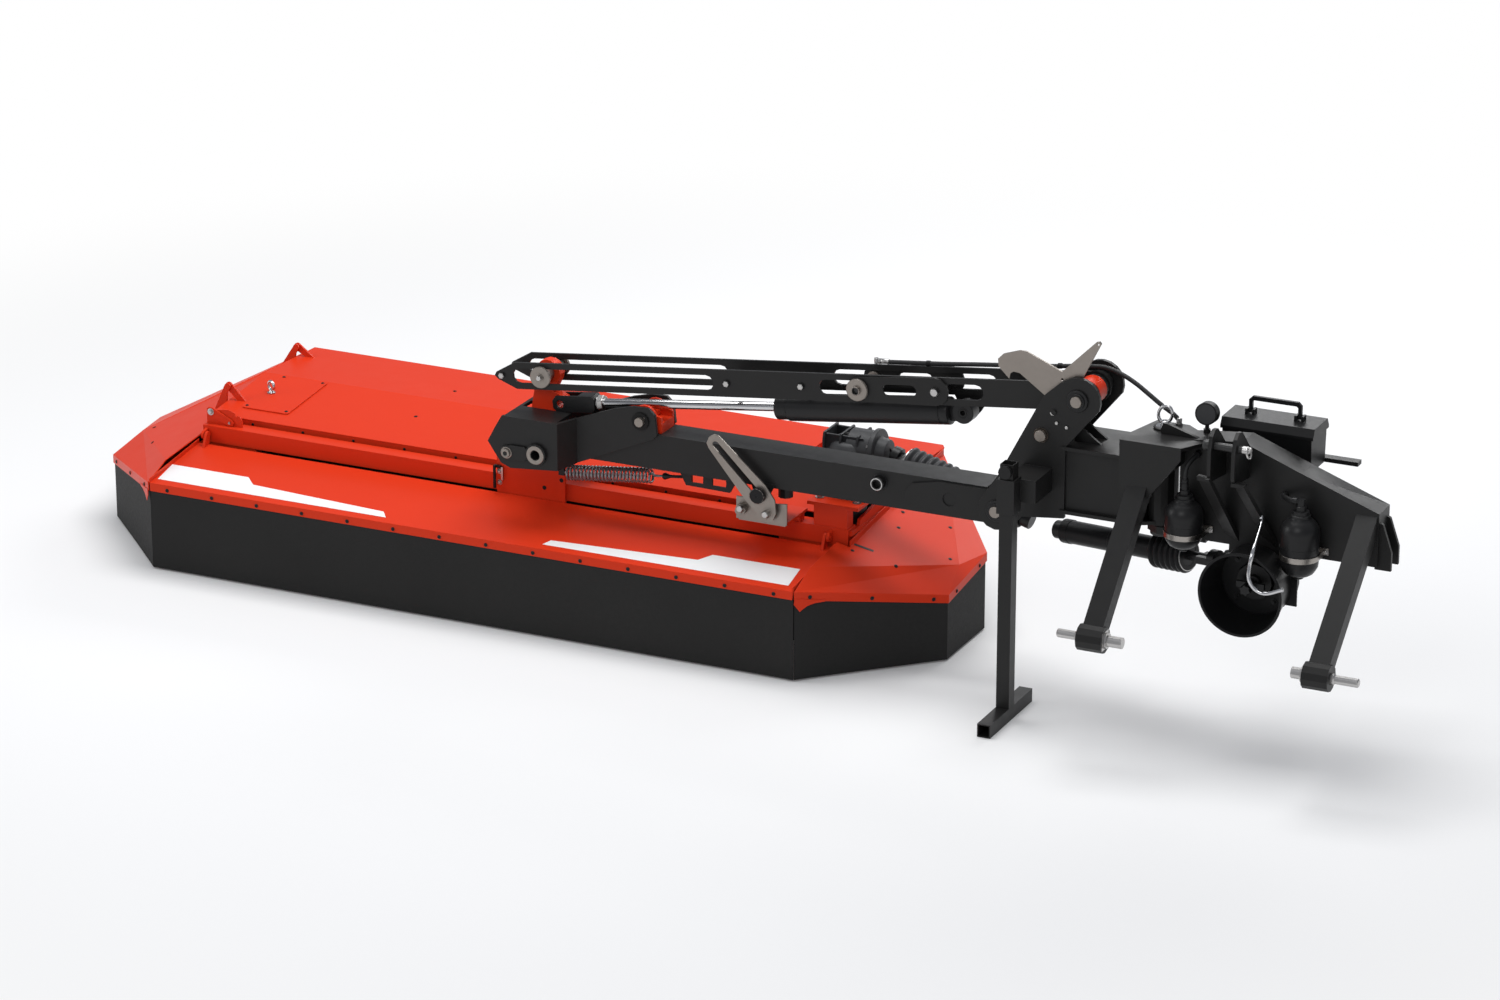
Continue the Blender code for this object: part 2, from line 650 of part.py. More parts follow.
oval = [(disc_a * cos(pi * k / 12), disc_b * sin(pi * k / 12)) for k in range(24)]
hub = lathe([(0, well_z + gap), (spindle_r, well_z + gap), (spindle_r, bar_z1 + run), (0.046, bar_z1 + run),
             (0.046, 0.110), (0.062, 0.1145), (0.030, 0.128), (0, 0.128)], (0, 0, 0), (0, 0, 1), 14)
plate = prism(oval, "z", disc_z, disc_z + 0.006)
drum = lathe([(0, 0.110), (0.085, 0.110), (0.070, 0.150), (0.070, 0.245), (0.080, 0.262), (0, 0.262)],
             (0, 0, 0), (0, 0, 1), 18)
plain_disc = fuse(hub, plate)
drum_disc = fuse(hub, plate, drum)
carrier_z = disc_z - run - 0.004
knife = prism([(0.050, -0.020), (0.225, -0.020), (knife_r, 0.008), (0.215, 0.020), (0.050, 0.020)],
              "z", carrier_z, carrier_z + 0.004)
other_knife = moved_copy(knife, Matrix.Rotation(pi, 4, "Z"))
centre = rod((0, 0, carrier_z), (0, 0, carrier_z + 0.004), 0.062, 12)
carrier = cut(fuse(centre, knife, other_knife),
              rod((0, 0, 0), (0, 0, 0.2), 0.046 + gap, 14))
for number, x in enumerate(spots):
    turn = Matrix.Translation((x, 0, 0)) @ Matrix.Rotation(pi / 2 * (number % 2), 4, "Z")
    ends = number in (0, disc_count - 1)
    owner = f"disc_{number + 1}_body"
    node(f"disc_{number + 1}", moved_copy(drum_disc if ends else plain_disc, turn), "steel", owner)
    node(f"knives_{number + 1}", moved_copy(carrier, turn), "steel", owner)

# bevel gearbox on its seat, with the quill down to the last disc
box_z0 = seat_z + plate_t + gap
case = lathe([(0, box_z0), (0.082, box_z0), (0.092, 0.52), (0.092, 0.63), (0.070, 0.685), (0, 0.685)],
             (gearbox_x, 0, 0), (0, 0, 1), 18)
input_z = drive_left[2]
snout = lathe([(0, 0), (0.068, 0), (0.068, 0.085), (0.078, 0.085), (0.078, 0.10), (0.052, 0.10),
               (0.046, 0.135), (0, 0.135)], (gearbox_x, 0, input_z), (1, 0, 0), 18)
ribs = [block(gearbox_x - 0.082 + 0.060 * k, gearbox_x - 0.074 + 0.060 * k, -0.062, 0.062, 0.64, 0.712)
        for k in range(3)]
ribs += [block(gearbox_x - 0.080, gearbox_x + 0.064, y - 0.004, y + 0.004, 0.645, 0.706)
         for y in (-0.045, 0.045)]
quill = lathe([(0, 0.272), (0.050, 0.272), (0.050, 0.531), (0, 0.531)], (gearbox_x, 0, 0), (0, 0, 1), 16, 0.1)
node("gearbox", fuse(case, snout, quill, *ribs), "cast", "deck_body")

# yoke: two bent cheeks, a top web and a spring bar
yoke_wide = 0.155       # half width of its box part
yoke_near = 0.064       # inner face of its arm plates
side = [(0.036, 0.619), (0.069, 0.680), (0.090, 0.715), (0.326, 0.715), (0.468, 0.770), (0.539, 0.788),
        (0.595, 0.789), (0.618, 0.768), (0.626, 0.700), (0.612, 0.684), (0.324, 0.557), (0.293, 0.550),
        (0.121, 0.535), (0.085, 0.549)]
plan = [(0.030, arm_y - yoke_wide), (0.297, arm_y - yoke_wide), (0.331, arm_y - yoke_near - plate_t),
        (0.640, arm_y - yoke_near - plate_t), (0.640, arm_y - yoke_near),
        (0.322, arm_y - yoke_near), (0.288, arm_y - yoke_wide + plate_t), (0.030, arm_y - yoke_wide + plate_t)]
front_cheek = keep(prism(side, "y", arm_y - 0.17, arm_y - 0.05), prism(plan, "z", 0.50, 0.82))
flip = Matrix.Translation((0, 2 * arm_y, 0)) @ Matrix.Scale(-1, 4, (0, 1, 0))
rear_cheek = moved_copy(front_cheek, flip)
bmesh.ops.recalc_face_normals(rear_cheek, faces=rear_cheek.faces)
web = cut(block(0.092, 0.286, arm_y - yoke_wide + 0.004, arm_y + yoke_wide - 0.004, 0.701, 0.713),
          block(0.104, 0.300, arm_y - 0.030, arm_y + 0.030, 0.6, 0.8))
spring_start = (0.252, 0.4892)
spring_end = (0.572, 0.5268)
spring_bar = rod((0.286, arm_y - yoke_wide + 0.005, 0.562), (0.286, arm_y + yoke_wide - 0.005, 0.562), 0.008, 12)
spring_lug = prism([(0.277, 0.568), (0.294, 0.562), (0.268, 0.530), (0.2433, 0.518), (0.2433, 0.477),
                    (0.222, 0.477), (0.222, 0.528), (0.246, 0.538)], "y", arm_y - 0.005, arm_y + 0.005)
deck_boss = [pin_y(pin_deck, arm_y + s * (yoke_wide - 0.004), arm_y + s * (yoke_wide + 0.006), 0.036, 20)
             for s in (-1, 1)]
lock = [pin_y(pin_lock, arm_y - yoke_wide - 0.006, arm_y - yoke_wide + 0.006, 0.026, 18),
        pin_y(pin_lock, arm_y - yoke_wide - 0.018, arm_y - yoke_wide, 0.015, 12)]
reach = yoke_wide + 0.006
deck_pin = lathe([(0, -reach - 0.006), (0.038, -reach - 0.006), (0.038, -reach + 0.003), (deck_bush_r, -reach + 0.003),
                  (deck_bush_r, reach + 0.012), (0, reach + 0.012)],
                 (pin_deck[0], arm_y, pin_deck[1]), (0, 1, 0), 20)
yoke = cut(fuse(front_cheek, web, rear_cheek, spring_bar, spring_lug, *deck_boss, *lock, deck_pin),
           pin_y(pin_deck, arm_y - 0.3, arm_y + 0.3, 0.016, 16), bore_y(pin_yoke, yoke_pin_r, 20))
node("yoke", yoke, "dark", "yoke_body", 30)

# arm: box tube, bearing boss, side plates, spring bracket, bumper, knob for the limiter
arm_half = arm_w / 2
tube = cut(block(arm_x0, 1.800, arm_y - arm_half, arm_y + arm_half, arm_z0, arm_z1),
           block(arm_x0 - 0.01, 1.500, arm_y - arm_half + 0.008, arm_y + arm_half - 0.008,
                 arm_z0 + 0.008, arm_z1 - 0.008))
end_plate = ([(1.514, 0.641), (1.541, 0.672), (1.635, 0.692), (1.780, 0.692)]
             + arc(*pin_arm, 0.060, 60, -90, 8) + [(1.616, 0.580), (1.515, 0.608)])
boss = pin_y(pin_arm, arm_y - cheek_gap / 2 + run, arm_y + cheek_gap / 2 - run, 0.056, 24)
bracket = cut(prism([(0.665, 0.580), (0.678, 0.566), (0.703, 0.519), (0.864, 0.516), (0.892, 0.566),
                     (0.905, 0.580)], "y", arm_y - 0.016, arm_y - 0.008),
              block(0.722, 0.766, arm_y - 0.1, arm_y + 0.1, 0.531, 0.558),
              block(0.800, 0.850, arm_y - 0.1, arm_y + 0.1, 0.531, 0.558))
hook_tab = block(0.698, 0.716, arm_y - 0.012, arm_y + 0.010, 0.522, 0.552)
spring_way = Vector((spring_end[0] - spring_start[0], 0, spring_end[1] - spring_start[1])).normalized()
eye_at = Vector((spring_end[0], arm_y, spring_end[1])) + spring_way * (0.040 + gap)
eye_bolt = lathe([(0, 0), (0.010, 0), (0.010, 0.006), (0.0042, 0.026), (0.0042, 0.094), (0, 0.094)],
                 eye_at, spring_way, 12)
bumper = rod((1.060, arm_y, 0.530), (1.060, arm_y, 0.580), 0.025, 16)
knob_at = (1.004, 0.556)
lug_face = arm_y - arm_half - 0.0035
knob_lug = prism([(0.960, 0.590), (0.978, 0.545), (1.004, 0.532), (1.028, 0.545), (1.050, 0.590)], "y",
                 lug_face, arm_y - arm_half + 0.006)
stub_at = (1.424, 0.657)
stub = pin_y(stub_at, arm_y - arm_half - 0.030, arm_y - arm_half + 0.004, 0.021, 16)
arm = cut(fuse(tube, *mirror_pair(end_plate, arm_half - 0.004, arm_half + 0.008), boss, bracket, hook_tab, eye_bolt,
               bumper, knob_lug, stub),
          bore_y(pin_arm, 0.025, 20),
          pin_y(stub_at, arm_y - 0.2, arm_y - arm_half - 0.012, 0.014, 16),
          pin_y((1.672, 0.637), arm_y - 0.2, arm_y - arm_half - 0.004, 0.024, 18))
node("arm", arm, "dark", "arm_body", 30)
ear = ([(0.492, arm_z1 + gap), (0.630, arm_z1 + gap), (0.629, 0.752)] + arc(*pin_yoke, 0.046, 20, 150, 7)
       + [(0.492, 0.752)])
head = fuse(block(0.492, 0.630, arm_y - 0.047, arm_y + 0.047, arm_z1 + gap, 0.732),
            *mirror_pair(ear, 0.036, 0.048))
reach = yoke_near + plate_t + gap
yoke_pin = lathe([(0, -reach - 0.016), (0.016, -reach - 0.016), (0.016, -reach - 0.006),
                  (0.031, -reach - 0.006), (0.031, -reach), (yoke_pin_r, -reach), (yoke_pin_r, reach),
                  (0.031, reach), (0.031, reach + 0.008), (0, reach + 0.008)],
                 (pin_yoke[0], arm_y, pin_yoke[1]), (0, 1, 0), 20)
node("arm_head", fuse(head, yoke_pin), "red", "arm_body", 30)

# tension spring between the yoke and the arm
curls = 14
wire_r = 0.0026
coil_r = 0.0240
coil_start = Vector((spring_start[0], arm_y, spring_start[1]))
coil_end = Vector((spring_end[0], arm_y, spring_end[1]))
coil_dir = (coil_end - coil_start).normalized()
coil_up = coil_dir.cross(Vector((0, 1, 0)))
per_turn = 8
path = [coil_start - coil_dir * 0.0082, coil_start - coil_dir * 0.0026]
for k in range(curls * per_turn + 1):
    angle = 2 * pi * k / per_turn
    along = (coil_end - coil_start) * (k / (curls * per_turn))
    path.append(coil_start + along + Vector((0, 1, 0)) * coil_r * sin(angle) + coil_up * coil_r * cos(angle))
path += [coil_end + coil_dir * 0.010, coil_end + coil_dir * 0.040]
pitch = (coil_end - coil_start).length / curls
print("spring: least gap to itself", round((pitch - 2 * wire_r) * 1000, 2), "mm")
node("spring", sweep(path, wire_r, 6), "steel", "arm_body", 60)

# limiter plate on its mount
mount_y = (-0.290, -0.284)
mount = fuse(prism([(0.913, 0.455), (1.096, 0.455), (1.096, 0.530), (0.990, 0.518), (0.955, 0.532),
                    (0.913, 0.532)], "y", *mount_y),
             block(0.920, 1.090, mount_y[0] + 0.003, beam_y0 + 0.04, 0.449, 0.459),
             block(0.930, 1.080, beam_y0 + 0.004, beam_y0 + 0.036, beam_z0 + beam_h - 0.004, 0.452),
             pin_y(pin_limit, mount_y[0] - 0.028, mount_y[0] + 0.003, 0.009, 12),
             pin_y(pin_limit, mount_y[0] - 0.036, mount_y[0] - 0.026, 0.014, 12),
             pin_y((0.938, 0.495), mount_y[0] - 0.040, mount_y[0] + 0.003, 0.012, 12),
             pin_y((0.938, 0.495), mount_y[0] - 0.022, mount_y[0] + 0.003, 0.019, 14))
node("deck_frame", fuse(deck_frame, mount), "red", "deck_body")
limiter_y = (-0.311, -0.305)
limiter = cut(prism([(0.860, 0.738), (0.842, 0.742), (0.824, 0.730), (0.815, 0.708), (0.822, 0.692),
                     (0.960, 0.525), (1.018, 0.468), (1.040, 0.462), (1.056, 0.474), (1.066, 0.500),
                     (1.062, 0.545), (1.028, 0.592)], "y", *limiter_y),
              prism(slot((0.848, 0.707), (1.010, 0.550), 0.0115), "y", -0.4, -0.2),
              bore_y(pin_limit, 0.009, 12))
limiter = fuse(limiter, pin_y(knob_at, limiter_y[0] - 0.006, lug_face - gap, 0.0125, 12),
               pin_y(knob_at, limiter_y[0] - 0.017, limiter_y[0] - 0.003, 0.026, 18))
node("limiter_plate", limiter, "steel", "limiter_body", 30)

# link bars with their two slots, and the short plates that slide on them
half = bar_h / 2
slot_r = slot_h / 2
bar_out = link_y + bar_t
link_len = hypot(pin_link[0] - roller_a[0], pin_link[1] - roller_a[1])
outline = ([on_link(-0.178, 0.0), on_link(-0.166, -0.013), on_link(-0.098, -half), on_link(1.800, -half)]
           + [on_link(link_len + 0.050 * cos(radians(a)), 0.050 * sin(radians(a)))
              for a in range(-90, 91, 30)] + [on_link(1.800, half), on_link(-0.098, half), on_link(-0.170, 0.012)])
slot_front = (-0.083, 0.610)
slot_rear = (1.043, 1.572)
spacers = []
for along, thick in ((-0.150, 0.008), (0.685, 0.010), (0.954, 0.010), (1.700, 0.012)):
    spacers.append(pin_y(on_link(along), arm_y - link_y - 0.004, arm_y + link_y + 0.004, thick, 12))
    if along < slot_rear[0]:
        for s in (-1, 1):
            outside = arm_y + s * bar_out
            spacers.append(pin_y(on_link(along), outside - s * 0.004, outside + s * 0.007, thick + 0.002, 8))
front_bar, rear_bar = mirror_pair(outline, link_y, bar_out)
slots = [prism(slot(on_link(a), on_link(b), slot_r), "y", arm_y - 0.2, arm_y + 0.2)
         for a, b in (slot_front, slot_rear)]
eye_lug = [on_link(1.440, -0.036), on_link(1.458, -0.080)] \
    + [on_link(1.502 + 0.034 * cos(radians(a)), -0.082 + 0.034 * sin(radians(a))) for a in range(210, 331, 30)] \
    + [on_link(1.546, -0.080), on_link(1.565, -0.036)]
eye_half = 0.025
hollow = [pin_y(pin_eye, arm_y - eye_half - 0.001, arm_y + link_y + 0.004, 0.0145, 16),
          pin_y(pin_eye, arm_y + eye_half + gap, arm_y + link_y + 0.004, 0.024, 18)]
bars = fuse(cut(front_bar, *slots),
            pin_y(pin_link, arm_y - cheek_gap / 2 + 0.0125, arm_y + cheek_gap / 2 - run, 0.044, 24),
            cut(rear_bar, *slots), *spacers,
            prism(eye_lug, "y", arm_y + link_y + 0.0008, arm_y + bar_out - 0.0008), *hollow)
bars = cut(bars, bore_y(pin_link, 0.025, 20),
           pin_y(pin_eye, arm_y - 0.3, arm_y + 0.3, 0.009, 16))
node("link_bars", bars, "dark", "link_body", 30)

slider_in = bar_out + gap + 0.0002
slider_out = slider_in + slider_t
slider_half = half + 0.001
nose = half - 0.006
outline = ([on_link(roller_b_at + nose * cos(radians(a)), nose * sin(radians(a))) for a in range(90, 271, 30)]
           + [on_link(slider_end + slider_half * cos(radians(a)), slider_half * sin(radians(a)))
              for a in range(-90, 91, 30)])
axle_r = 0.012
plate_slot = prism(slot(on_link(roller_b_at + 0.105), on_link(slider_end - 0.084), 0.019), "y",
                   arm_y - 0.2, arm_y + 0.2)
plates = [cut(p, plate_slot, bore_y(on_link(roller_b_at), axle_r, 20))
          for p in mirror_pair(outline, slider_in, slider_out)]
bolt = [pin_y(on_link(slider_end), arm_y - slider_out - 0.004, arm_y + slider_out + 0.004, axle_r, 12)]
bolt += [pin_y(on_link(slider_end), arm_y + s * (slider_out - 0.003), arm_y + s * (slider_out + 0.009), 0.016, 6)
         for s in (-1, 1)]
node("link_slider", fuse(plates[0], bolt[0], plates[1], *bolt[1:]), "dark", "slider_body", 30)


def roller_side(inner_reach, sleeve_r, disc_in):
    """Half of a guide roller: axle, sleeve in the slot, outer disc, nut."""
    return [(axle_r, inner_reach), (sleeve_r, inner_reach), (sleeve_r, bar_out), (axle_r, bar_out),
            (axle_r, disc_in), (0.037, disc_in), (0.037, disc_in + 0.011), (0.013, disc_in + 0.011),
            (0.013, disc_in + 0.021), (0, disc_in + 0.021)]


rear_side = roller_side(link_y - 0.001, slot_r - 0.003, slider_out + run)
node("roller_rear", lathe([(r, -h) for r, h in rear_side[::-1]] + rear_side,
                          (roller_b[0], arm_y, roller_b[1]), (0, 1, 0), 20), "steel", "roller_rear_body", 30)
front_side = [(0, tower_half + gap)] + roller_side(tower_half + gap, slot_r - gap, bar_out + 0.004)
for name, way in (("roller_front", -1), ("roller_front_far", 1)):
    node(name, lathe(front_side, (roller_a[0], arm_y, roller_a[1]), (0, way, 0), 20), "steel",
         "roller_front_body", 30)

# ram
ram_from = Vector((pin_eye[0], arm_y, pin_eye[1]))
ram_to = Vector((pin_rod[0], arm_y, pin_rod[1]))
ram_dir = (ram_to - ram_from).normalized()
ram_len = (ram_to - ram_from).length


def on_ram(along):
    return ram_from + ram_dir * along


rod_r = 0.0155
barrel_r = 0.046
mouth = 0.668
barrel = fuse(lathe([(0, 0.045), (barrel_r - 0.006, 0.045), (barrel_r, 0.051), (barrel_r, mouth - 0.045),
                     (barrel_r - 0.004, mouth - 0.043), (barrel_r - 0.004, mouth), (0, mouth)],
                    on_ram(0), ram_dir, 24),
              pin_y(pin_eye, arm_y - eye_half, arm_y + eye_half, 0.037, 22),
              sweep([on_ram(0.020), on_ram(0.056)], 0, square=(0.018, 0.030)))
barrel = cut(barrel, rod(on_ram(0.075), on_ram(mouth + 0.02), rod_r + gap, 20), bore_y(pin_eye, 0.0145, 16))
node("ram_barrel", barrel, "dark", "ram_body", 30)
clevis_from = ram_len - 0.130
clevis_half = 0.028
block_out = sweep([on_ram(clevis_from), on_ram(ram_len)], 0, square=(clevis_half, 0.029))
fork = fuse(block_out, pin_y(pin_rod, arm_y - clevis_half, arm_y + clevis_half, 0.029, 20))
fork = cut(fork, sweep([on_ram(ram_len - 0.066), on_ram(ram_len + 0.06)], 0,
                       square=(tower_half + 0.0006, 0.05)))
clevis = cut(fuse(fork, rod(on_ram(0.640), on_ram(clevis_from + 0.010), rod_r, 20),
                  rod(on_ram(clevis_from - 0.026), on_ram(clevis_from - 0.004), 0.028, 6)),
             pin_y(pin_rod, arm_y - 0.1, arm_y + 0.1, 0.0133, 16))
node("ram_rod", clevis, "chrome", "ram_rod_body", 30)

# swing frame: two pivot cheeks, the box to the vertical hinge, the stand's sleeve
cheek_in = cheek_gap / 2
cheek_out = cheek_in + cheek_t
cheek = ([(1.792, 0.665), (1.860, 0.768), (1.987, 1.013), (2.012, 1.056), (2.066, 1.105)]
         + arc(*pin_link, 0.076, 105, -20, 7)
         + [(2.085, 0.890), (2.085, 0.650), (1.940, 0.634)] + arc(*pin_arm, 0.066, -45, -200, 6))
frame = mirror_pair(cheek, cheek_in, cheek_out)
box = cut(block(2.035, 2.345, arm_y - cheek_in - 0.004, arm_y + cheek_in + 0.004, 0.672, 0.888),
          block(2.050, 2.310, arm_y - cheek_in + 0.006, arm_y + cheek_in - 0.006, 0.684, 0.876),
          rod((2.20, arm_y, 0.78), (2.20, arm_y + 0.2, 0.78), 0.035, 14))
knuckle_r = 0.050
flange = [(2.070, arm_y - cheek_out - 0.006), (2.330, arm_y - cheek_out - 0.006), (2.385, -0.300),
          (2.385, -0.200), (2.330, arm_y + cheek_out + 0.006), (2.070, arm_y + cheek_out + 0.006)]
swing_low = 0.664
swing_high = 0.896
flanges = [prism(flange, "z", swing_low + 0.003, swing_low + 0.003 + plate_t),
           prism(flange, "z", swing_high - 0.003 - plate_t, swing_high - 0.003)]
knuckle = rod((*swing_axis, swing_low), (*swing_axis, swing_high), knuckle_r, 24)
ribs = [prism([(2.092, swing_high - 0.008), (2.190, swing_high - 0.008), (2.110, 0.945), (2.092, 0.945)], "y",
              y - 0.005, y + 0.005) for y in (-0.262, -0.205)]
spare = pin_y(pin_spare, arm_y - cheek_in - 0.004, arm_y + cheek_in + 0.004, 0.022, 16)
sleeve_z = (0.706, 0.822)
sleeve = block(stand_x - 0.030, stand_x + 0.030, stand_y - 0.030, stand_y + 0.030, *sleeve_z)
standoff = block(stand_x - 0.018, stand_x + 0.082, stand_y + 0.022, arm_y - cheek_out + 0.004, 0.738, 0.814)
tube_half = tube_w / 2
swing = fuse(box, frame[0], *flanges, frame[1], knuckle, *ribs, spare, sleeve, standoff)
hook_pin = pin_y(pin_hook, arm_y - cheek_out - 0.006, arm_y - cheek_in + 0.014, 0.009, 12)
swing = fuse(swing, hook_pin)
swing = cut(swing, pin_y(pin_arm, arm_y - 0.3, arm_y + 0.3, 0.025 + gap, 20),
            pin_y(pin_link, arm_y - 0.3, arm_y + 0.3, 0.025 + gap, 20),
            bore((*swing_axis, 0.5), (*swing_axis, 1.1), 0.030, 22),
            block(stand_x - tube_half - 0.0008, stand_x + tube_half + 0.0008, stand_y - tube_half - 0.0008,
                  stand_y + tube_half + 0.0008, 0.6, 0.9))
node("swing_frame", swing, "dark", "swing_body", 30)

for label, at in (("arm_pin", pin_arm), ("link_pin", pin_link)):
    reach = cheek_out + gap
    node(label, lathe([(0, -reach - 0.020), (0.019, -reach - 0.020), (0.019, -reach - 0.008),
                       (0.036, -reach - 0.008), (0.036, -reach), (0.025, -reach), (0.025, reach),
                       (0.034, reach), (0.034, reach + 0.008), (0, reach + 0.008)],
                      (at[0], arm_y, at[1]), (0, 1, 0), 20), "steel", "swing_body", 30)

hook_y = (arm_y - cheek_in + 0.0025, arm_y - cheek_in + 0.0105)
hook = cut(prism([(1.842, 1.146), (1.860, 1.165), (1.916, 1.184), (1.939, 1.184), (2.061, 1.134),
                  (2.175, 1.248), (2.187, 1.251), (2.192, 1.243), (2.136, 1.131), (2.100, 1.060)]
                 + arc(*pin_hook, 0.030, -10, -170, 5)
                 + [(2.008, 1.045), (1.917, 1.109), (1.896, 1.111), (1.886, 1.104), (1.882, 1.085),
                    (1.845, 1.121)], "y", *hook_y),
           bore_y(pin_hook, 0.009, 12), pin_y((2.182, 1.240), -0.4, -0.2, 0.004, 8),
           pin_y((2.063, 1.108), -0.4, -0.2, 0.005, 8))
node("transport_hook", hook, "steel", "hook_body", 30)

# parking stand
leg_top = 0.872
foot_half = 0.175
leg = fuse(block(stand_x - tube_half, stand_x + tube_half, stand_y - foot_half, stand_y + foot_half, 0, tube_w),
           block(stand_x - tube_half + gap / 3, stand_x + tube_half - gap / 3, stand_y - tube_half,
                 stand_y + tube_half, 0.03, leg_top))
wall = 0.004
leg = cut(leg, block(stand_x - tube_half + wall, stand_x + tube_half - wall, stand_y - 0.5, stand_y + 0.5,
                     wall, tube_w - wall),
          block(stand_x - tube_half + wall, stand_x + tube_half - wall, stand_y - tube_half + wall,
                stand_y + tube_half - wall, tube_w + 0.002, 0.95))
knob = lathe([(0, -0.040), (0.022, -0.040), (0.022, -tube_half - 0.006), (0.0075, -tube_half - 0.006),
              (0.0075, tube_half + 0.008), (0, tube_half + 0.008)], (stand_x, stand_y, 0.850), (0, 1, 0), 16)
node("stand_leg", fuse(leg, knob), "dark", "stand_body")

# headstock
post = [(2.470, 0.650), (2.470, 0.970), (2.500, 0.977), (2.675, 0.995), (2.873, 0.920), (3.130, 0.826),
        (3.130, 0.650)]
pocket = [(2.483, 0.600), (2.483, 0.952), (2.665, 0.972), (2.868, 0.905), (3.117, 0.812), (3.117, 0.600)]
hitch_beam = cut(prism(post, "y", frame_y0, frame_y1), prism(pocket, "y", frame_y0 + 0.012, frame_y1 - 0.012))
front_plate = prism([(2.300, 0.968), (2.303, 0.800), (2.320, 0.785), (2.390, 0.785), (2.505, 0.935),
                     (2.505, 0.968)], "y", -0.412, -0.400)
top_plate = prism([(2.300, -0.412), (2.300, -0.360), (2.340, -0.190), (2.450, -0.190), (2.490, -0.224),
                   (2.560, -0.224), (2.560, -0.318), (2.505, -0.412)], "z", 0.965, 0.977)
upper_boss = rod((*swing_axis, swing_high + run), (*swing_axis, 0.970), 0.046, 22)
lower_lug = prism([(2.390, -0.300), (2.348, -0.270), (2.348, -0.230), (2.390, -0.200), (2.560, -0.228),
                   (2.560, -0.312)], "z", swing_low - run - 0.024, swing_low - run)
shoulder = block(2.440, 2.486, -0.405, -0.228, 0.900, 0.968)
leg_left = sweep([(2.362, -0.392, 0.815), (2.346, hitch_y, hitch_z)], 0, square=(0.034, 0.025))
gusset = prism([(2.330, 0.785), (2.395, 0.785), (2.395, 0.900), (2.330, 0.900)], "y", -0.405, -0.366)
leg_right = sweep([(3.090, -0.300, 0.800), (3.087, hitch_y, hitch_z)], 0, square=(0.034, 0.025))
hitch_pins = []
for x, inner_x, outer_x in ((hitch_x[0], 2.447, 2.229), (hitch_x[1], 3.003, 3.219)):
    way = 1 if outer_x > x else -1
    near = abs(x - inner_x) - bush_len / 2
    far = near + bush_len
    tip = abs(outer_x - inner_x)
    profile = [(0, 0), (0.0183, 0), (0.0183, near - 0.010), (0.026, near - 0.010), (0.026, near),
               (0.0425, near), (0.0425, far), (0.0183, far), (0.0183, far + 0.010), (0.0142, far + 0.014),
               (0.0142, tip - 0.003), (0.0115, tip), (0, tip)]
    hitch_pins.append(lathe(profile, (inner_x, hitch_y, hitch_z), (way, 0, 0), 20))
dial = [rod((2.525, -0.235, 0.972), (2.525, -0.235, 1.012), 0.007, 10),
        rod((2.525, -0.250, 1.043), (2.525, -0.218, 1.040), 0.036, 22),
        rod((2.525, -0.235, 0.9720), (2.525, -0.235, 0.990), 0.012, 6)]
ear_side = [(-0.312, 0.880), (-0.452, 0.898), (-0.462, 0.920), (-0.462, 1.000), (-0.448, 1.045),
            (-0.425, 1.062), (-0.400, 1.058), (-0.375, 1.035), (-0.312, 0.975)]
top_pin = (-0.425, 1.008)
ears = [prism(ear_side, "x", x, x + 0.012) for x in (2.611, 2.690)]
braces = [sweep([(2.600, -0.456, 0.912), (2.652, -0.308, 0.668)], 0, square=(0.024, 0.006)),
          sweep([(2.715, -0.452, 0.906), (2.782, -0.308, 0.668)], 0, square=(0.024, 0.006)),
          block(2.580, 2.622, -0.462, -0.440, 0.900, 0.912), block(2.691, 2.736, -0.460, -0.436, 0.894, 0.906)]
tie = prism([(2.404, 0.962), (2.396, 0.990), (2.404, 1.012), (2.418, 1.012), (2.538, 0.975), (2.550, 0.955),
             (2.545, 0.930), (2.520, 0.930), (2.470, 0.962)], "y", -0.306, -0.294)
fins = [prism([(3.118, 0.640), (3.171, 0.640), (3.171, 0.700), (3.140, 0.790), (3.118, 0.800)], "y", y - 0.006,
              y + 0.006) for y in (-0.305, -0.235)]
rest = block(2.550, 2.830, frame_y1 - 0.010, 0.020, 0.845, 0.857)
rest_bar = block(2.750, 2.945, 0.0075, 0.042, 0.848, 0.862)
hose_hook = sweep([(2.768, -0.384, 0.785), (2.774, -0.405, 0.764), (2.786, -0.500, 0.714),
                   (2.783, -0.522, 0.664), (2.786, -0.530, 0.628), (2.808, -0.530, 0.598),
                   (2.843, -0.530, 0.590), (2.897, -0.530, 0.612)], 0.0055, 6)
headstock = fuse(hitch_beam, top_plate, front_plate, shoulder, upper_boss, lower_lug, leg_left, gusset,
                 leg_right, *ears, *braces, tie, *fins, rest, rest_bar, hose_hook)
headstock = cut(fuse(headstock, *hitch_pins, *dial), rod((*swing_axis, 0.5), (*swing_axis, 1.2), 0.030 + gap, 22),
                rod((2.5, *top_pin), (2.9, *top_pin), 0.0125 + gap, 16))
node("headstock", headstock, "dark", "headstock_body", 30)

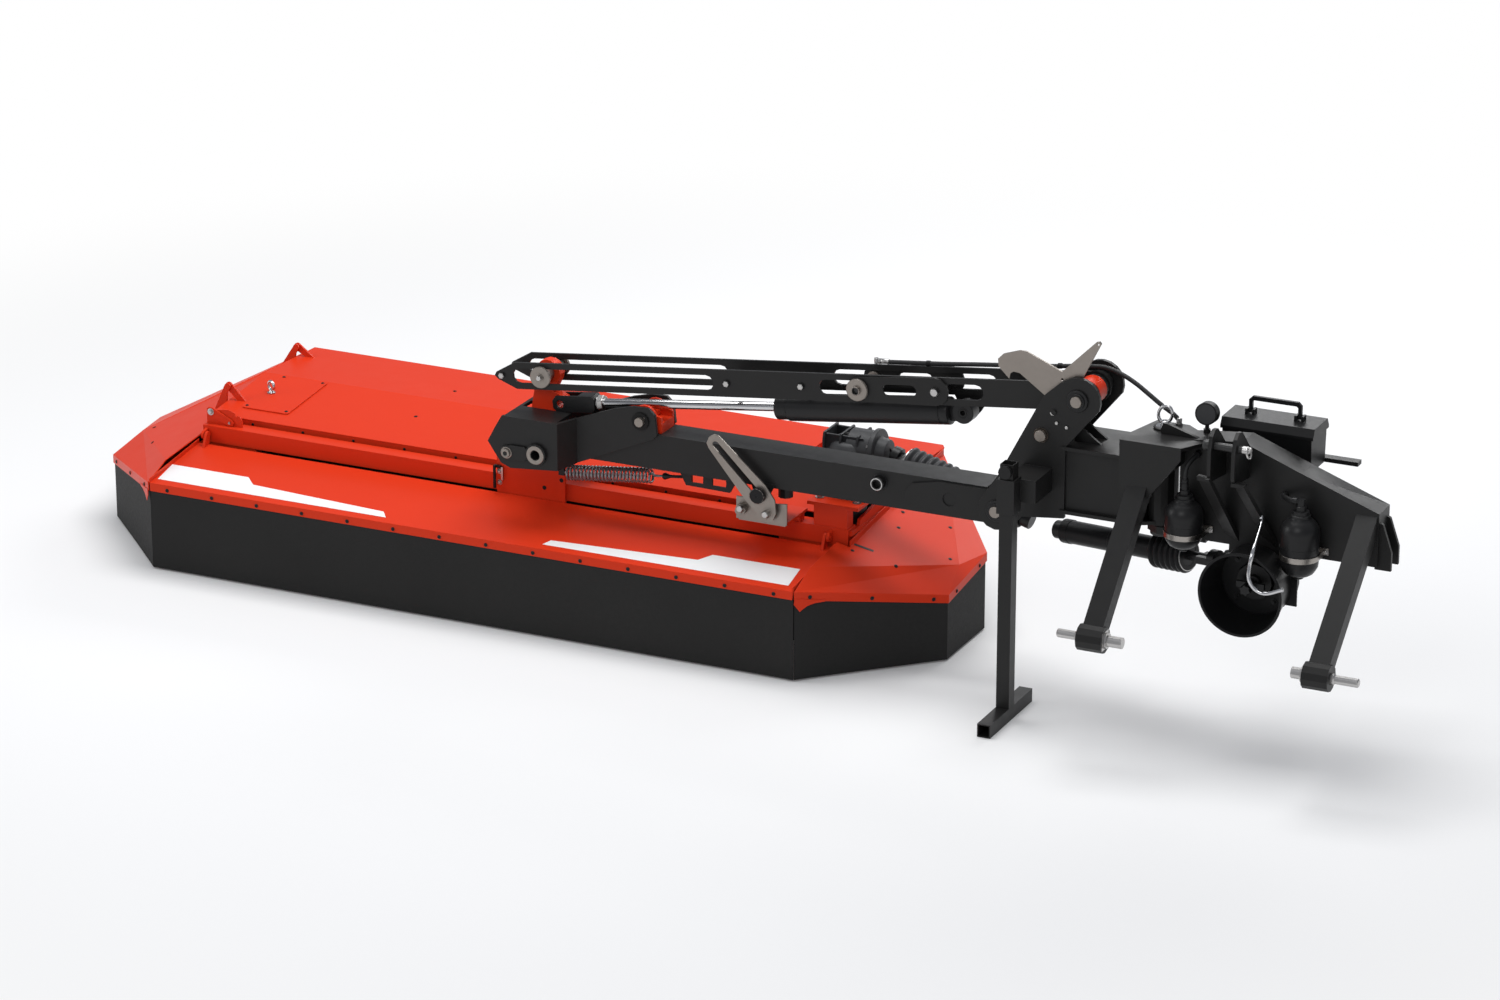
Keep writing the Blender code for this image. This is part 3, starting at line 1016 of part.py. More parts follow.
pin_top = 0.977 + gap
ring = lathe([(0.0225 + 0.0050 * cos(a * pi / 3), 0.0050 * sin(a * pi / 3)) for a in range(6)],
             (0, 0, 0), (0, 1, 0), 16)
bmesh.ops.scale(ring, vec=Vector((1, 1, 1.28)), verts=ring.verts)
ring = moved_copy(ring, Matrix.Translation((*swing_axis, 1.022)) @ Matrix.Rotation(0.30, 4, "Y"))
bolt = lathe([(0, 0.624), (0.038, 0.624), (0.038, swing_low - run - 0.024 - gap),
              (0.030, swing_low - run - 0.024 - gap), (0.030, pin_top), (0.036, pin_top), (0.036, 0.984),
              (0.014, 0.986), (0.014, 1.000), (0, 1.002)], (*swing_axis, 0), (0, 0, 1), 22)
node("swing_pin", fuse(bolt, ring), "chrome", "headstock_body", 30)

lynch = lathe([(0.017 + 0.003 * cos(a * pi / 3), 0.003 * sin(a * pi / 3)) for a in range(6)],
              (2.738, top_pin[0] - 0.012, top_pin[1] - 0.004), (1, 0, 0.25), 14)
upper_pin = lathe([(0, 0), (0.017, 0), (0.017, 0.0247), (0.0125, 0.0247), (0.0125, 0.150), (0.010, 0.156),
                   (0, 0.156)], (2.586, *top_pin), (1, 0, 0), 16)
node("top_link_pin", fuse(upper_pin, lynch), "steel", "headstock_body", 30)

for label, x, low, top in (("left", 2.512, 0.632, 0.812), ("right", 2.897, 0.600, 0.817)):
    y = -0.385
    band = 0.690 if label == "left" else 0.676
    profile = [(0, low), (0.016, low), (0.018, low + 0.012), (0.040, low + 0.016), (0.052, low + 0.034),
               (0.061, low + 0.046), (0.061, band - 0.009), (0.0632, band - 0.009), (0.0632, band + 0.009),
               (0.061, band + 0.009), (0.061, top - 0.058), (0.054, top - 0.036), (0.032, top - 0.018),
               (0.030, top), (0.012, top), (0.012, top + 0.045), (0, top + 0.045)]
    strap = block(x - 0.086, x + 0.074, frame_y0 - 0.0045, frame_y0 - gap, band - 0.010, band + 0.012)
    bolts = [rod((x + s, frame_y0 - 0.010, band), (x + s, frame_y0 - 0.003, band), 0.006, 6)
             for s in (-0.078, 0.066)]
    if label == "left":
        line = [(x, y, top + 0.030), (x + 0.002, y, top + 0.086), (x + 0.010, y + 0.012, top + 0.110),
                (x + 0.018, frame_y0 - 0.020, top + 0.122), (x + 0.018, frame_y0 - gap, top + 0.122)]
    else:
        line = [(x, y, top + 0.036), (x - 0.030, y, top + 0.036), (x - 0.060, y + 0.030, top + 0.030),
                (x - 0.075, frame_y0 - 0.016, top + 0.026), (x - 0.075, frame_y0 - gap, top + 0.026)]
    node(f"accumulator_{label}",
         fuse(lathe(profile, (x, y, 0), (0, 0, 1), 20), strap, *bolts, sweep(line, 0.0085, 6)), "dark",
         "headstock_body", 30)

# tool box with its lid and handle
tool_x = (2.537, 2.847)
tool_y = (-0.150, 0.000)
tool_z = (0.857 + gap, 0.968)
tray_box = cut(prism([(tool_y[0] + 0.010, tool_z[0]), (tool_y[1] - 0.010, tool_z[0]),
                      (tool_y[1] - 0.003, tool_z[1]), (tool_y[0] + 0.003, tool_z[1])], "x",
                     tool_x[0] + 0.006, tool_x[1] - 0.006),
               block(tool_x[0] + 0.010, tool_x[1] - 0.010, tool_y[0] + 0.015, tool_y[1] - 0.015,
                     tool_z[0] + 0.004, 1.1))
node("toolbox", tray_box, "plastic", "headstock_body")
lid_z = (tool_z[1] + gap, 1.003)
lid = prism([(tool_y[0], lid_z[0]), (tool_y[1], lid_z[0]), (tool_y[1], lid_z[0] + 0.010),
             (tool_y[1] - 0.014, lid_z[1]), (tool_y[0] + 0.014, lid_z[1]), (tool_y[0], lid_z[0] + 0.010)],
            "x", *tool_x)
lid = cut(lid, block(tool_x[0] + 0.012, tool_x[1] - 0.012, tool_y[0] + 0.016, tool_y[1] - 0.016, 0.9,
                     lid_z[1] - 0.006))
mounts = [block(x - 0.016, x + 0.016, handle_at[0] - 0.014, handle_at[0] + 0.014, lid_z[1] - 0.003,
                lid_z[1] + 0.019) for x in (2.612, 2.776)]
mounts = [cut(m, block(x - 0.0075, x + 0.0075, -0.2, 0.1, lid_z[1] + 0.001, 1.1))
          for m, x in zip(mounts, (2.612, 2.776))]
lid = cut(fuse(lid, *mounts), bore((2.5, *handle_at), (2.9, *handle_at), 0.0032, 10))
node("toolbox_lid", lid, "plastic", "lid_body")
grip = [(2.606, handle_at[1] - 0.004), (2.606, 1.052), (2.618, 1.064), (2.770, 1.064), (2.782, 1.052),
        (2.782, handle_at[1] - 0.004), (2.770, handle_at[1] - 0.004), (2.770, 1.046), (2.764, 1.050),
        (2.624, 1.050), (2.618, 1.046), (2.618, handle_at[1] - 0.004)]
studs = [rod((x - 0.013, *handle_at), (x + 0.013, *handle_at), 0.0032, 10) for x in (2.612, 2.776)]
node("toolbox_handle", fuse(prism(grip, "y", handle_at[0] - 0.006, handle_at[0] + 0.006), *studs), "plastic",
     "handle_body")

# driveline: input gearbox and guard, right shaft, left shaft
box_top = 0.650 - gap
out_at = (drive_right[0] + 0.044, drive_right[1], drive_right[2])
case = fuse(prism([(-0.345, 0.500), (-0.320, 0.470), (-0.200, 0.470), (-0.178, 0.500), (-0.178, 0.632),
                   (-0.345, 0.632)], "x", 2.660, 2.830),
            block(2.640, 2.880, -0.318, -0.170, 0.621, box_top),
            lathe([(0, -0.02), (0.058, -0.02), (0.058, 0.022), (0.046, 0.022), (0.040, 0.044), (0, 0.044)],
                  out_at, (-1, 0, 0), 18),
            rod((pto_x, -0.33, pto_z), (pto_x, -0.368, pto_z), 0.060, 18))
case = cut(case, bore((pto_x, -0.32, pto_z), (pto_x, -0.5, pto_z), 0.025, 16))
node("input_gearbox", case, "dark", "headstock_body", 30)
guard_y = -0.500
cone_deep = -0.345 - gap - guard_y
cone = lathe([(0.130, 0), (0.139, 0), (0.1185, 0.120), (0.1185, cone_deep), (0.062, cone_deep),
              (0.062, cone_deep - 0.005), (0.112, cone_deep - 0.005), (0.112, 0.120)],
             (pto_x, guard_y, pto_z), (0, 1, 0), 26)
tab = block(2.840, 2.882, -0.352, -0.346, 0.490, 0.594)
node("pto_guard", fuse(cone, tab, block(2.838, 2.850, -0.356, -0.344, 0.50, 0.585)), "plastic",
     "headstock_body", 30)
node("input_shaft", fuse(lathe([(0, 0), (0.015, 0), (0.0175, 0.003), (0.0175, 0.070), (0.025, 0.072),
                                (0.025, 0.118), (0, 0.118)], (pto_x, -0.452, pto_z), (0, 1, 0), 16),
                         block(pto_x - 0.046, pto_x + 0.046, -0.404, -0.392, pto_z - 0.010, pto_z + 0.010)),
     "steel", "input_body", 30)

mid = Vector(drive_mid)


def shaft_line(end, length):
    """Point at a distance from an end of the driveline towards its middle joint."""
    base = Vector(end)
    return base + (mid - base).normalized() * length


guard_bore = 0.0345
tip_r = 0.010


def driveline(end, near, tube_from, short):
    """Turning shaft between two joints: yoke, inner tube, yoke."""
    whole = (mid - Vector(end)).length
    tilt = (mid - Vector(end)).angle(Vector((mid.x - end[0], 0, 0)))
    seat_at = (gap + tip_r * sin(tilt)) / cos(tilt)
    half_step = pi / (2 * round(18 * fineness / 2))
    ring_r = guard_bore * cos(half_step) - gap
    profile = [(0, seat_at), (tip_r, seat_at), (tip_r, near), (0.034, near), (0.034, near + 0.026),
               (0.016, near + 0.028), (0.016, tube_from), (ring_r, tube_from),
               (ring_r, tube_from + 0.028), (0.016, tube_from + 0.032),
               (0.016, whole - short - 0.060), (0.030, whole - short - 0.058), (0.030, whole - short),
               (0, whole - short)]
    turned = lathe(profile, end, mid - Vector(end), 18, half_step)
    fork = sweep([shaft_line(end, near + 0.018), shaft_line(end, min(near + 0.070, tube_from + 0.006))], 0,
                 square=(0.031, 0.012))
    return fuse(turned, fork)


def guard_tube(end, first, last, outer):
    whole = (mid - Vector(end)).length
    return pipe(shaft_line(end, first), shaft_line(end, whole - last), outer, outer - 0.004, 18)


def bellows(start, direction, radius, bore, ribs_count, pitch_x):
    """Open ribbed sleeve."""
    outside = []
    for k in range(ribs_count):
        outside += [(radius - 0.011, pitch_x * k), (radius, pitch_x * (k + 0.5))]
    outside.append((radius - 0.011, pitch_x * ribs_count))
    return lathe(outside + [(bore, pitch_x * ribs_count), (bore, 0)], start, direction, 18)


node("shaft_right", driveline(drive_right, 0.024, 0.143, 0.055), "steel", "shaft_right_body", 30)
right_way = (mid - Vector(drive_right)).normalized()
node("guard_right", fuse(guard_tube(drive_right, 0.266, 0.090, 0.038),
                         bellows(shaft_line(drive_right, 0.142), right_way, 0.060, guard_bore, 6, 0.0220)),
     "plastic", "headstock_body", 30)
node("shaft_left", driveline(drive_left, 0.014, 0.072, 0.045), "steel", "shaft_left_body", 30)
left_way = (mid - Vector(drive_left)).normalized()
node("guard_left", fuse(guard_tube(drive_left, 0.238, 0.080, 0.038),
                        bellows(shaft_line(drive_left, 0.068), left_way, 0.056, guard_bore, 7, 0.0255)),
     "plastic", "deck_body", 30)

# hydraulic hose over the link bars
hose_y = arm_y + link_y + bar_t / 2
top_line = half + 0.0095
hose_path = [(*on_link(1.180, top_line),), (*on_link(1.300, top_line),), (*on_link(1.420, top_line),),
             (*on_link(1.540, top_line + 0.002),), (*on_link(1.660, top_line + 0.003),),
             (*on_link(1.760, top_line + 0.004),), (*on_link(1.840, top_line + 0.007),)]
hose_points = [(x, hose_y, z) for x, z in hose_path]
hose_points += [(2.090, hose_y, 1.112), (2.150, hose_y - 0.002, 1.117), (2.205, hose_y - 0.009, 1.107),
                (2.260, hose_y - 0.018, 1.086), (2.315, hose_y - 0.028, 1.056), (2.360, hose_y - 0.035, 1.030),
                (2.398, hose_y - 0.039, 1.010), (2.420, hose_y - 0.041, 0.992), (2.420, hose_y - 0.041, 0.9777)]
node("hose", sweep(hose_points, 0.0075, 7), "rubber", "swing_body", 60)
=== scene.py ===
# Looks of the rear-mounted disc mower: materials, fine pieces, floor, lights, camera.
import bpy
import bmesh
from math import cos, pi, radians, sin
from mathutils import Matrix, Vector
from mathutils.bvhtree import BVHTree


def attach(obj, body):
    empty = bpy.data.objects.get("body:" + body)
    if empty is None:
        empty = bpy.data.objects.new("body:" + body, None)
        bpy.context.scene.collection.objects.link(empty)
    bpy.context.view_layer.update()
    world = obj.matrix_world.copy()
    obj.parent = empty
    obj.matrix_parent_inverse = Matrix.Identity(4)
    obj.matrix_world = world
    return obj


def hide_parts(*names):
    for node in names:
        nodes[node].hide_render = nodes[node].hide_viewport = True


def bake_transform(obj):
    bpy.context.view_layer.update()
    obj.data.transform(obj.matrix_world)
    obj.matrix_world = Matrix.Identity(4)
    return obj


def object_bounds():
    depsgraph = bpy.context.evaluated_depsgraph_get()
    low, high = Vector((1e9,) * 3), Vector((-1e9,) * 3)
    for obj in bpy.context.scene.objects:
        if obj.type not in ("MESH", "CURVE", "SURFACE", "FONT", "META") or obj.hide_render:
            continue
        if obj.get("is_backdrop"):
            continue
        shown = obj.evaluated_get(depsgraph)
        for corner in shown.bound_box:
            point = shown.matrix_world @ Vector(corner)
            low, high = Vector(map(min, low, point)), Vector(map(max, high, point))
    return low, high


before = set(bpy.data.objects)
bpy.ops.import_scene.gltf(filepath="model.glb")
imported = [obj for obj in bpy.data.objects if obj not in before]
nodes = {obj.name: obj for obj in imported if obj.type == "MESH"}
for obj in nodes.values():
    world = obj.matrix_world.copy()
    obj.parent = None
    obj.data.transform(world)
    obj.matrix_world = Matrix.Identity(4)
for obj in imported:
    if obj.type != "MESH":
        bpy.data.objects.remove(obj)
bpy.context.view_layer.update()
print("frame loaded:", len(nodes), "nodes")

stageCollection = bpy.context.scene.collection
armY = -0.22
toRight, toFront, toRear, upward = (Vector(way) for way in ((1, 0, 0), (0, -1, 0), (0, 1, 0), (0, 0, 1)))

# camera first, at the photograph's angle
cameraSettings = {"place": (7.894, -14.932, 6.451), "azimuth": 25.331, "down": 20.093, "lens": 126.17,
                  "sensor": 36, "clip": 200}
camera = bpy.data.objects.new("camera", bpy.data.cameras.new("camera"))
camera.location = cameraSettings["place"]
camera.rotation_euler = (radians(90 - cameraSettings["down"]), 0, radians(cameraSettings["azimuth"]))
camera.data.lens = cameraSettings["lens"]
camera.data.sensor_width = cameraSettings["sensor"]
camera.data.clip_end = cameraSettings["clip"]
stageCollection.objects.link(camera)
bpy.context.scene.camera = camera
bpy.context.scene.view_settings.view_transform = "Standard"

# node groups: each effect is built once and given its own values in each material
white = (1, 1, 1, 1)
black = (0, 0, 0, 1)
surfaceOutputs = {"Colour": black, "Roughness": 0.0, "Height": 0.0}


def newGroup(name, inputs, outputs):
    # a socket's kind follows from its value: a number, a vector or a colour
    group = bpy.data.node_groups.new(name, "ShaderNodeTree")
    for way, sockets in (("INPUT", inputs), ("OUTPUT", outputs)):
        for label, value in sockets.items():
            kind = "Float" if isinstance(value, float) else {3: "Vector", 4: "Color"}[len(value)]
            socket = group.interface.new_socket(name=label, in_out=way, socket_type="NodeSocket" + kind)
            socket.default_value = value
    return group, group.nodes.new("NodeGroupInput").outputs, group.nodes.new("NodeGroupOutput").inputs


def feed(tree, sockets, values):
    # each value is another node's socket, a number, a vector or a colour
    for key, value in values.items():
        if isinstance(value, bpy.types.NodeSocket):
            tree.links.new(value, sockets[key])
        else:
            sockets[key].default_value = value


def addNode(tree, kind, values=None, **settings):
    made = tree.nodes.new("ShaderNode" + kind)
    for key, value in settings.items():
        setattr(made, key, value)
    feed(tree, made.inputs, values or {})
    return made.outputs


def mathNode(tree, operation, a, b=0.0):
    return addNode(tree, "Math", {0: a, 1: b}, operation=operation)[0]


def mixNode(tree, factor, a, b, kind="FLOAT"):
    first, out = (6, 2) if kind == "RGBA" else (2, 0)
    return addNode(tree, "Mix", {0: factor, first: a, first + 1: b}, data_type=kind)[out]


def noiseNode(tree, place, scale, detail, rough=0.5):
    values = {"Vector": place, "Scale": scale, "Detail": detail, "Roughness": rough}
    return addNode(tree, "TexNoise", values)[0]


def buildSurfaceTone():
    group, given, out = newGroup("surfaceTone", {
        "Place": (0, 0, 0), "Stretch": (1, 1, 1), "Colour": white, "Tint": black, "Patch Scale": 3.0,
        "Patch Share": 0.3, "Rough": 0.4, "Rough Spread": 0.1, "Grain Scale": 400.0}, surfaceOutputs)
    place = addNode(group, "VectorMath", {0: given["Place"], 1: given["Stretch"]}, operation="MULTIPLY")[0]
    patch = noiseNode(group, place, given["Patch Scale"], 5.0, 0.6)
    fine = noiseNode(group, place, mathNode(group, "MULTIPLY", given["Patch Scale"], 9.0), 3.0)
    share = mathNode(group, "MULTIPLY", patch, given["Patch Share"])
    shift = mathNode(group, "MULTIPLY", mathNode(group, "SUBTRACT", fine, 0.5), given["Rough Spread"])
    feed(group, out, {"Colour": mixNode(group, share, given["Colour"], given["Tint"], "RGBA"),
        "Roughness": mathNode(group, "ADD", given["Rough"], shift),
        "Height": noiseNode(group, place, given["Grain Scale"], 2.0)})
    return group


def buildClothWeave():
    group, given, out = newGroup("clothWeave", {
        "Place": (0, 0, 0), "Colour": white, "Tint": black, "Thread Scale": 260.0}, surfaceOutputs)
    flat = addNode(group, "SeparateXYZ", {0: given["Place"]})
    threads = []
    for along in (mathNode(group, "ADD", flat[0], flat[1]), flat[2]):
        turn = mathNode(group, "MULTIPLY", along, given["Thread Scale"])
        threads.append(mathNode(group, "SINE", mathNode(group, "MULTIPLY", turn, 2 * pi)))
    dust = noiseNode(group, given["Place"], 2.2, 6.0)
    speck = noiseNode(group, given["Place"], 90.0, 2.0)
    share = mathNode(group, "MULTIPLY", dust, speck)
    feed(group, out, {"Colour": mixNode(group, share, given["Colour"], given["Tint"], "RGBA"),
        "Roughness": mathNode(group, "ADD", 0.55, mathNode(group, "MULTIPLY", speck, 0.25)),
        "Height": mathNode(group, "MULTIPLY", *threads)})
    return group


def buildBoxMask():
    group, given, out = newGroup("boxMask", {"Place": (0, 0, 0), "Low": (0, 0, 0), "High": (0, 0, 0)},
        {"Mask": 0.0})
    gaps = []
    for a, b in (("Place", "Low"), ("High", "Place")):
        gap = addNode(group, "VectorMath", {0: given[a], 1: given[b]}, operation="SUBTRACT")[0]
        gaps += addNode(group, "SeparateXYZ", {0: gap})
    least = gaps[0]
    for gap in gaps[1:]:
        least = mathNode(group, "MINIMUM", least, gap)
    feed(group, out, {"Mask": mathNode(group, "GREATER_THAN", least, 0.0)})
    return group


surfaceTone = buildSurfaceTone()
clothWeave = buildClothWeave()
boxMask = buildBoxMask()

# finishes: the surface group's values in the labels' order, then bump, metal and specular; colours are linear
toneLabels = ("Colour", "Tint", "Patch Scale", "Patch Share", "Rough", "Rough Spread", "Grain Scale")
finishes = {
    "redPaint": ((0.68, 0.04, 0.011), (0.53, 0.028, 0.008), 1.6, 0.3, 0.34, 0.1, 900, 0.05, 0.0, 0.1),
    "darkPaint": ((0.0125, 0.0122, 0.0119), (0.018, 0.0177, 0.0175), 3.0, 0.5, 0.42, 0.14, 700,
                  0.08, 0.0, 0.24),
    "blackPaint": ((0.0105, 0.0105, 0.011), (0.017, 0.017, 0.0175), 6.0, 0.4, 0.36, 0.14, 800,
                   0.08, 0.0, 0.26),
    "castGrey": ((0.05, 0.051, 0.053), (0.026, 0.027, 0.029), 14.0, 0.7, 0.5, 0.2, 260, 0.35, 0.1, 0.35),
    "bareSteel": ((0.3, 0.268, 0.24), (0.19, 0.168, 0.15), 9.0, 0.6, 0.4, 0.22, 500, 0.15, 0.9, 0.5),
    "zincSteel": ((0.5, 0.49, 0.48), (0.4, 0.39, 0.38), 20.0, 0.5, 0.3, 0.1, 600, 0.05, 1.0, 0.5),
    "chrome": ((0.58, 0.58, 0.59), (0.45, 0.45, 0.46), 25.0, 0.3, 0.16, 0.1, 900, 0.03, 1.0, 0.5),
    "springSteel": ((0.24, 0.24, 0.245), (0.13, 0.13, 0.132), 40.0, 0.5, 0.24, 0.12, 900, 0.03, 0.45, 0.6),
    "brushedBand": ((0.38, 0.355, 0.33), (0.24, 0.22, 0.2), 4.0, 0.6, 0.3, 0.2, 200, 0.15, 1.0, 0.5),
    "blackPlastic": ((0.0085, 0.0085, 0.0088), (0.013, 0.013, 0.0135), 10, 0.5, 0.38, 0.12, 1200,
                     0.2, 0.0, 0.18),
    "greyPlastic": ((0.04, 0.041, 0.043), (0.024, 0.024, 0.026), 10.0, 0.5, 0.46, 0.12, 1000,
                    0.15, 0.0, 0.35),
    "hoseRubber": ((0.011, 0.011, 0.0115), (0.019, 0.019, 0.0195), 30.0, 0.5, 0.5, 0.15, 1400,
                   0.3, 0.0, 0.35),
    "whiteBand": ((0.84, 0.84, 0.84), (0.72, 0.72, 0.71), 5.0, 0.15, 0.35, 0.05, 900, 0.02, 0.0, 0.35),
}
looks = {name: {"bump": bump, "metal": metal, "specular": specular, "group": surfaceTone,
                "values": dict(zip(toneLabels, ((*colour, 1), (*tint, 1), *tone)))}
         for name, (colour, tint, *tone, bump, metal, specular) in finishes.items()}
looks["brushedBand"]["values"]["Stretch"] = (1, 1, 18)
looks["curtainCloth"] = {"bump": 0.25, "metal": 0.0, "specular": 0.2, "group": clothWeave,
    "values": {"Colour": (0.0125, 0.0122, 0.0118, 1), "Tint": (0.03, 0.029, 0.028, 1),
               "Thread Scale": 240.0}}
finished = {}


def placeLook(tree, place, look):
    data = looks[look]
    return addNode(tree, "Group", {"Place": place, **data["values"]}, node_tree=data["group"])


def makeMaterial(name, look, zones=()):
    # zones are (look, [(low corner, high corner), ...]) and cover parts that have another finish
    if name in finished:
        return finished[name]
    material = bpy.data.materials.new(name)
    material.use_nodes = True
    tree = material.node_tree
    place = addNode(tree, "TexCoord")["Object"]
    data = looks[look]
    base = placeLook(tree, place, look)
    colour, rough, height, metal = base["Colour"], base["Roughness"], base["Height"], data["metal"]
    for zoneLook, boxes in zones:
        mask = 0.0
        for low, high in boxes:
            box = addNode(tree, "Group", {"Place": place, "Low": low, "High": high}, node_tree=boxMask)
            mask = mathNode(tree, "MAXIMUM", mask, box[0])
        other = placeLook(tree, place, zoneLook)
        colour = mixNode(tree, mask, colour, other["Colour"], "RGBA")
        rough = mixNode(tree, mask, rough, other["Roughness"])
        height = mixNode(tree, mask, height, other["Height"])
        metal = mixNode(tree, mask, metal, looks[zoneLook]["metal"])
    bump = addNode(tree, "Bump", {"Height": height, "Strength": data["bump"], "Distance": 0.0008})
    feed(tree, tree.nodes["Principled BSDF"].inputs, {
        "Base Color": colour, "Roughness": rough, "Metallic": metal, "Specular IOR Level": data["specular"],
        "Normal": bump[0]})
    finished[name] = material
    return material


# shape helpers; a piece's origin stays at the frame's origin
def mm(*values, rise=0.0):
    # pairs of millimetres in a row become pairs of metres; rise is added to the second of each pair
    return [(a / 1000, rise + b / 1000) for a, b in zip(values[::2], values[1::2])]


def merge(meshes):
    whole = bmesh.new()
    for mesh in meshes:
        data = bpy.data.meshes.new("part")
        mesh.to_mesh(data)
        mesh.free()
        whole.from_mesh(data)
        bpy.data.meshes.remove(data)
    return whole


def roundEdges(thing, width, steps=2, angle=40):
    edge = thing.modifiers.new("edge", "BEVEL")
    edge.width = width
    edge.segments = steps
    edge.limit_method = "ANGLE"
    edge.angle_limit = radians(angle)
    edge.harden_normals = True


def pieceFrom(mesh, name, look, body, smooth=35, bevel=0.0, steps=2, stands=None):
    # one mesh or a list of them; stands names the solid that the piece takes the place of
    if isinstance(mesh, list):
        mesh = merge(mesh)
    data = bpy.data.meshes.new(name)
    bmesh.ops.recalc_face_normals(mesh, faces=mesh.faces)
    mesh.to_mesh(data)
    mesh.free()
    piece = bpy.data.objects.new(name, data)
    stageCollection.objects.link(piece)
    data.materials.append(makeMaterial(look + "Finish", look) if isinstance(look, str) else look)
    if smooth:
        data.shade_smooth()
        data.set_sharp_from_angle(angle=radians(smooth))
    if bevel:
        roundEdges(piece, bevel, steps)
    if body:
        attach(piece, body)
    if stands:
        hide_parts(stands)
    return piece


def turnTo(direction, place):
    turned = Vector(direction).to_track_quat("Z", "Y").to_matrix().to_4x4()
    return Matrix.Translation(Vector(place)) @ turned


def axesAt(x, y, z, place):
    # matrix that turns the three axes to the given directions
    made = Matrix((x, y, z)).transposed().to_4x4()
    made.translation = place
    return made


def lathe(profile, place, direction, steps=40):
    # profile is (radius, distance) pairs from one end to the other
    mesh = bmesh.new()
    verts = [mesh.verts.new((radius, 0, height)) for radius, height in profile]
    edges = [mesh.edges.new(pair) for pair in zip(verts, verts[1:])]
    bmesh.ops.spin(mesh, geom=verts + edges, cent=(0, 0, 0), axis=upward, angle=2 * pi, steps=steps,
        use_merge=True)
    bmesh.ops.remove_doubles(mesh, verts=mesh.verts, dist=1e-6)
    bmesh.ops.transform(mesh, matrix=turnTo(direction, place), verts=mesh.verts)
    return mesh


def latheOnY(profile, at, steps=48):
    # at is (x, z), and profile distances are measured along +Y from the arm's middle plane
    return lathe(profile, (at[0], armY, at[1]), toRear, steps)


def ring(count, radius, turn=0.0):
    return [(radius * cos(turn + 2 * pi * k / count), radius * sin(turn + 2 * pi * k / count))
            for k in range(count)]


def hoop(radius, wire, sides, place, direction, steps=48):
    # round wire bent to a closed ring
    section = ring(sides, wire) + ring(1, wire)
    return lathe([(radius + a, b) for a, b in section], place, direction, steps)


def extrude(points, thickness, matrix=None):
    # flat outline in x, y raised along z
    mesh = bmesh.new()
    face = mesh.faces.new([mesh.verts.new((x, y, 0)) for x, y in points])
    grown = bmesh.ops.extrude_face_region(mesh, geom=[face])
    top = [v for v in grown["geom"] if isinstance(v, bmesh.types.BMVert)]
    bmesh.ops.translate(mesh, verts=top, vec=(0, 0, thickness))
    if matrix:
        bmesh.ops.transform(mesh, matrix=matrix, verts=mesh.verts)
    return mesh


def boxMesh(low, high):
    mesh = bmesh.new()
    bmesh.ops.create_cube(mesh, size=1)
    bmesh.ops.scale(mesh, vec=Vector(high) - Vector(low), verts=mesh.verts)
    bmesh.ops.translate(mesh, vec=(Vector(high) + Vector(low)) / 2, verts=mesh.verts)
    return mesh


def bridge(mesh, rings):
    # bands of faces between closed rings of vertices
    for low, high in zip(rings, rings[1:]):
        for i in range(len(low)):
            n = (i + 1) % len(low)
            mesh.faces.new((low[i], low[n], high[n], high[i]))


def plateOnY(outline, low, high, holes=(), place=None):
    # flat plate in x, z between two y values, with round holes
    mesh = bmesh.new()
    loops = [outline] + [[(cx + x, cz + z) for x, z in ring(28, radius)] for cx, cz, radius in holes]
    pairs = [[[mesh.verts.new((x, y, z)) for x, z in loop] for y in (low, high)] for loop in loops]
    for pair in pairs:
        bridge(mesh, pair)
    for side in (0, 1):
        edges = [mesh.edges.get(ends) for pair in pairs
                 for ends in zip(pair[side], pair[side][1:] + pair[side][:1])]
        if holes:
            bmesh.ops.triangle_fill(mesh, edges=edges, use_beauty=True, use_dissolve=False)
        else:
            mesh.faces.new(pairs[0][side])
    if place:
        bmesh.ops.transform(mesh, matrix=place, verts=mesh.verts)
    return mesh


def tube(points, radius, sides=12):
    # round section swept along a path
    mesh = bmesh.new()
    path = [Vector(p) for p in points]
    last = len(path) - 1
    side = None
    rings = []
    for k, here in enumerate(path):
        ahead = (path[min(k + 1, last)] - path[max(k - 1, 0)]).normalized()
        if side is None:
            side = ahead.cross(upward if abs(ahead.z) < 0.9 else toRight).normalized()
        side = (side - ahead * side.dot(ahead)).normalized()
        other = ahead.cross(side)
        rings.append([mesh.verts.new(here + side * a + other * b) for a, b in ring(sides, radius)])
    bridge(mesh, rings)
    mesh.faces.new(rings[0][::-1])
    mesh.faces.new(rings[-1])
    return mesh


def curvePoints(points, perSpan=6):
    # Catmull-Rom curve through given points
    path = [Vector(p) for p in points]
    path = [path[0] * 2 - path[1]] + path + [path[-1] * 2 - path[-2]]
    smooth = []
    for a, b, c, d in zip(path, path[1:], path[2:], path[3:]):
        for k in range(perSpan):
            t = k / perSpan
            smooth.append(0.5 * ((2 * b) + (c - a) * t + (2 * a - 5 * b + 4 * c - d) * t * t
                + (3 * b - a - 3 * c + d) * t ** 3))
    smooth.append(path[-2])
    return smooth


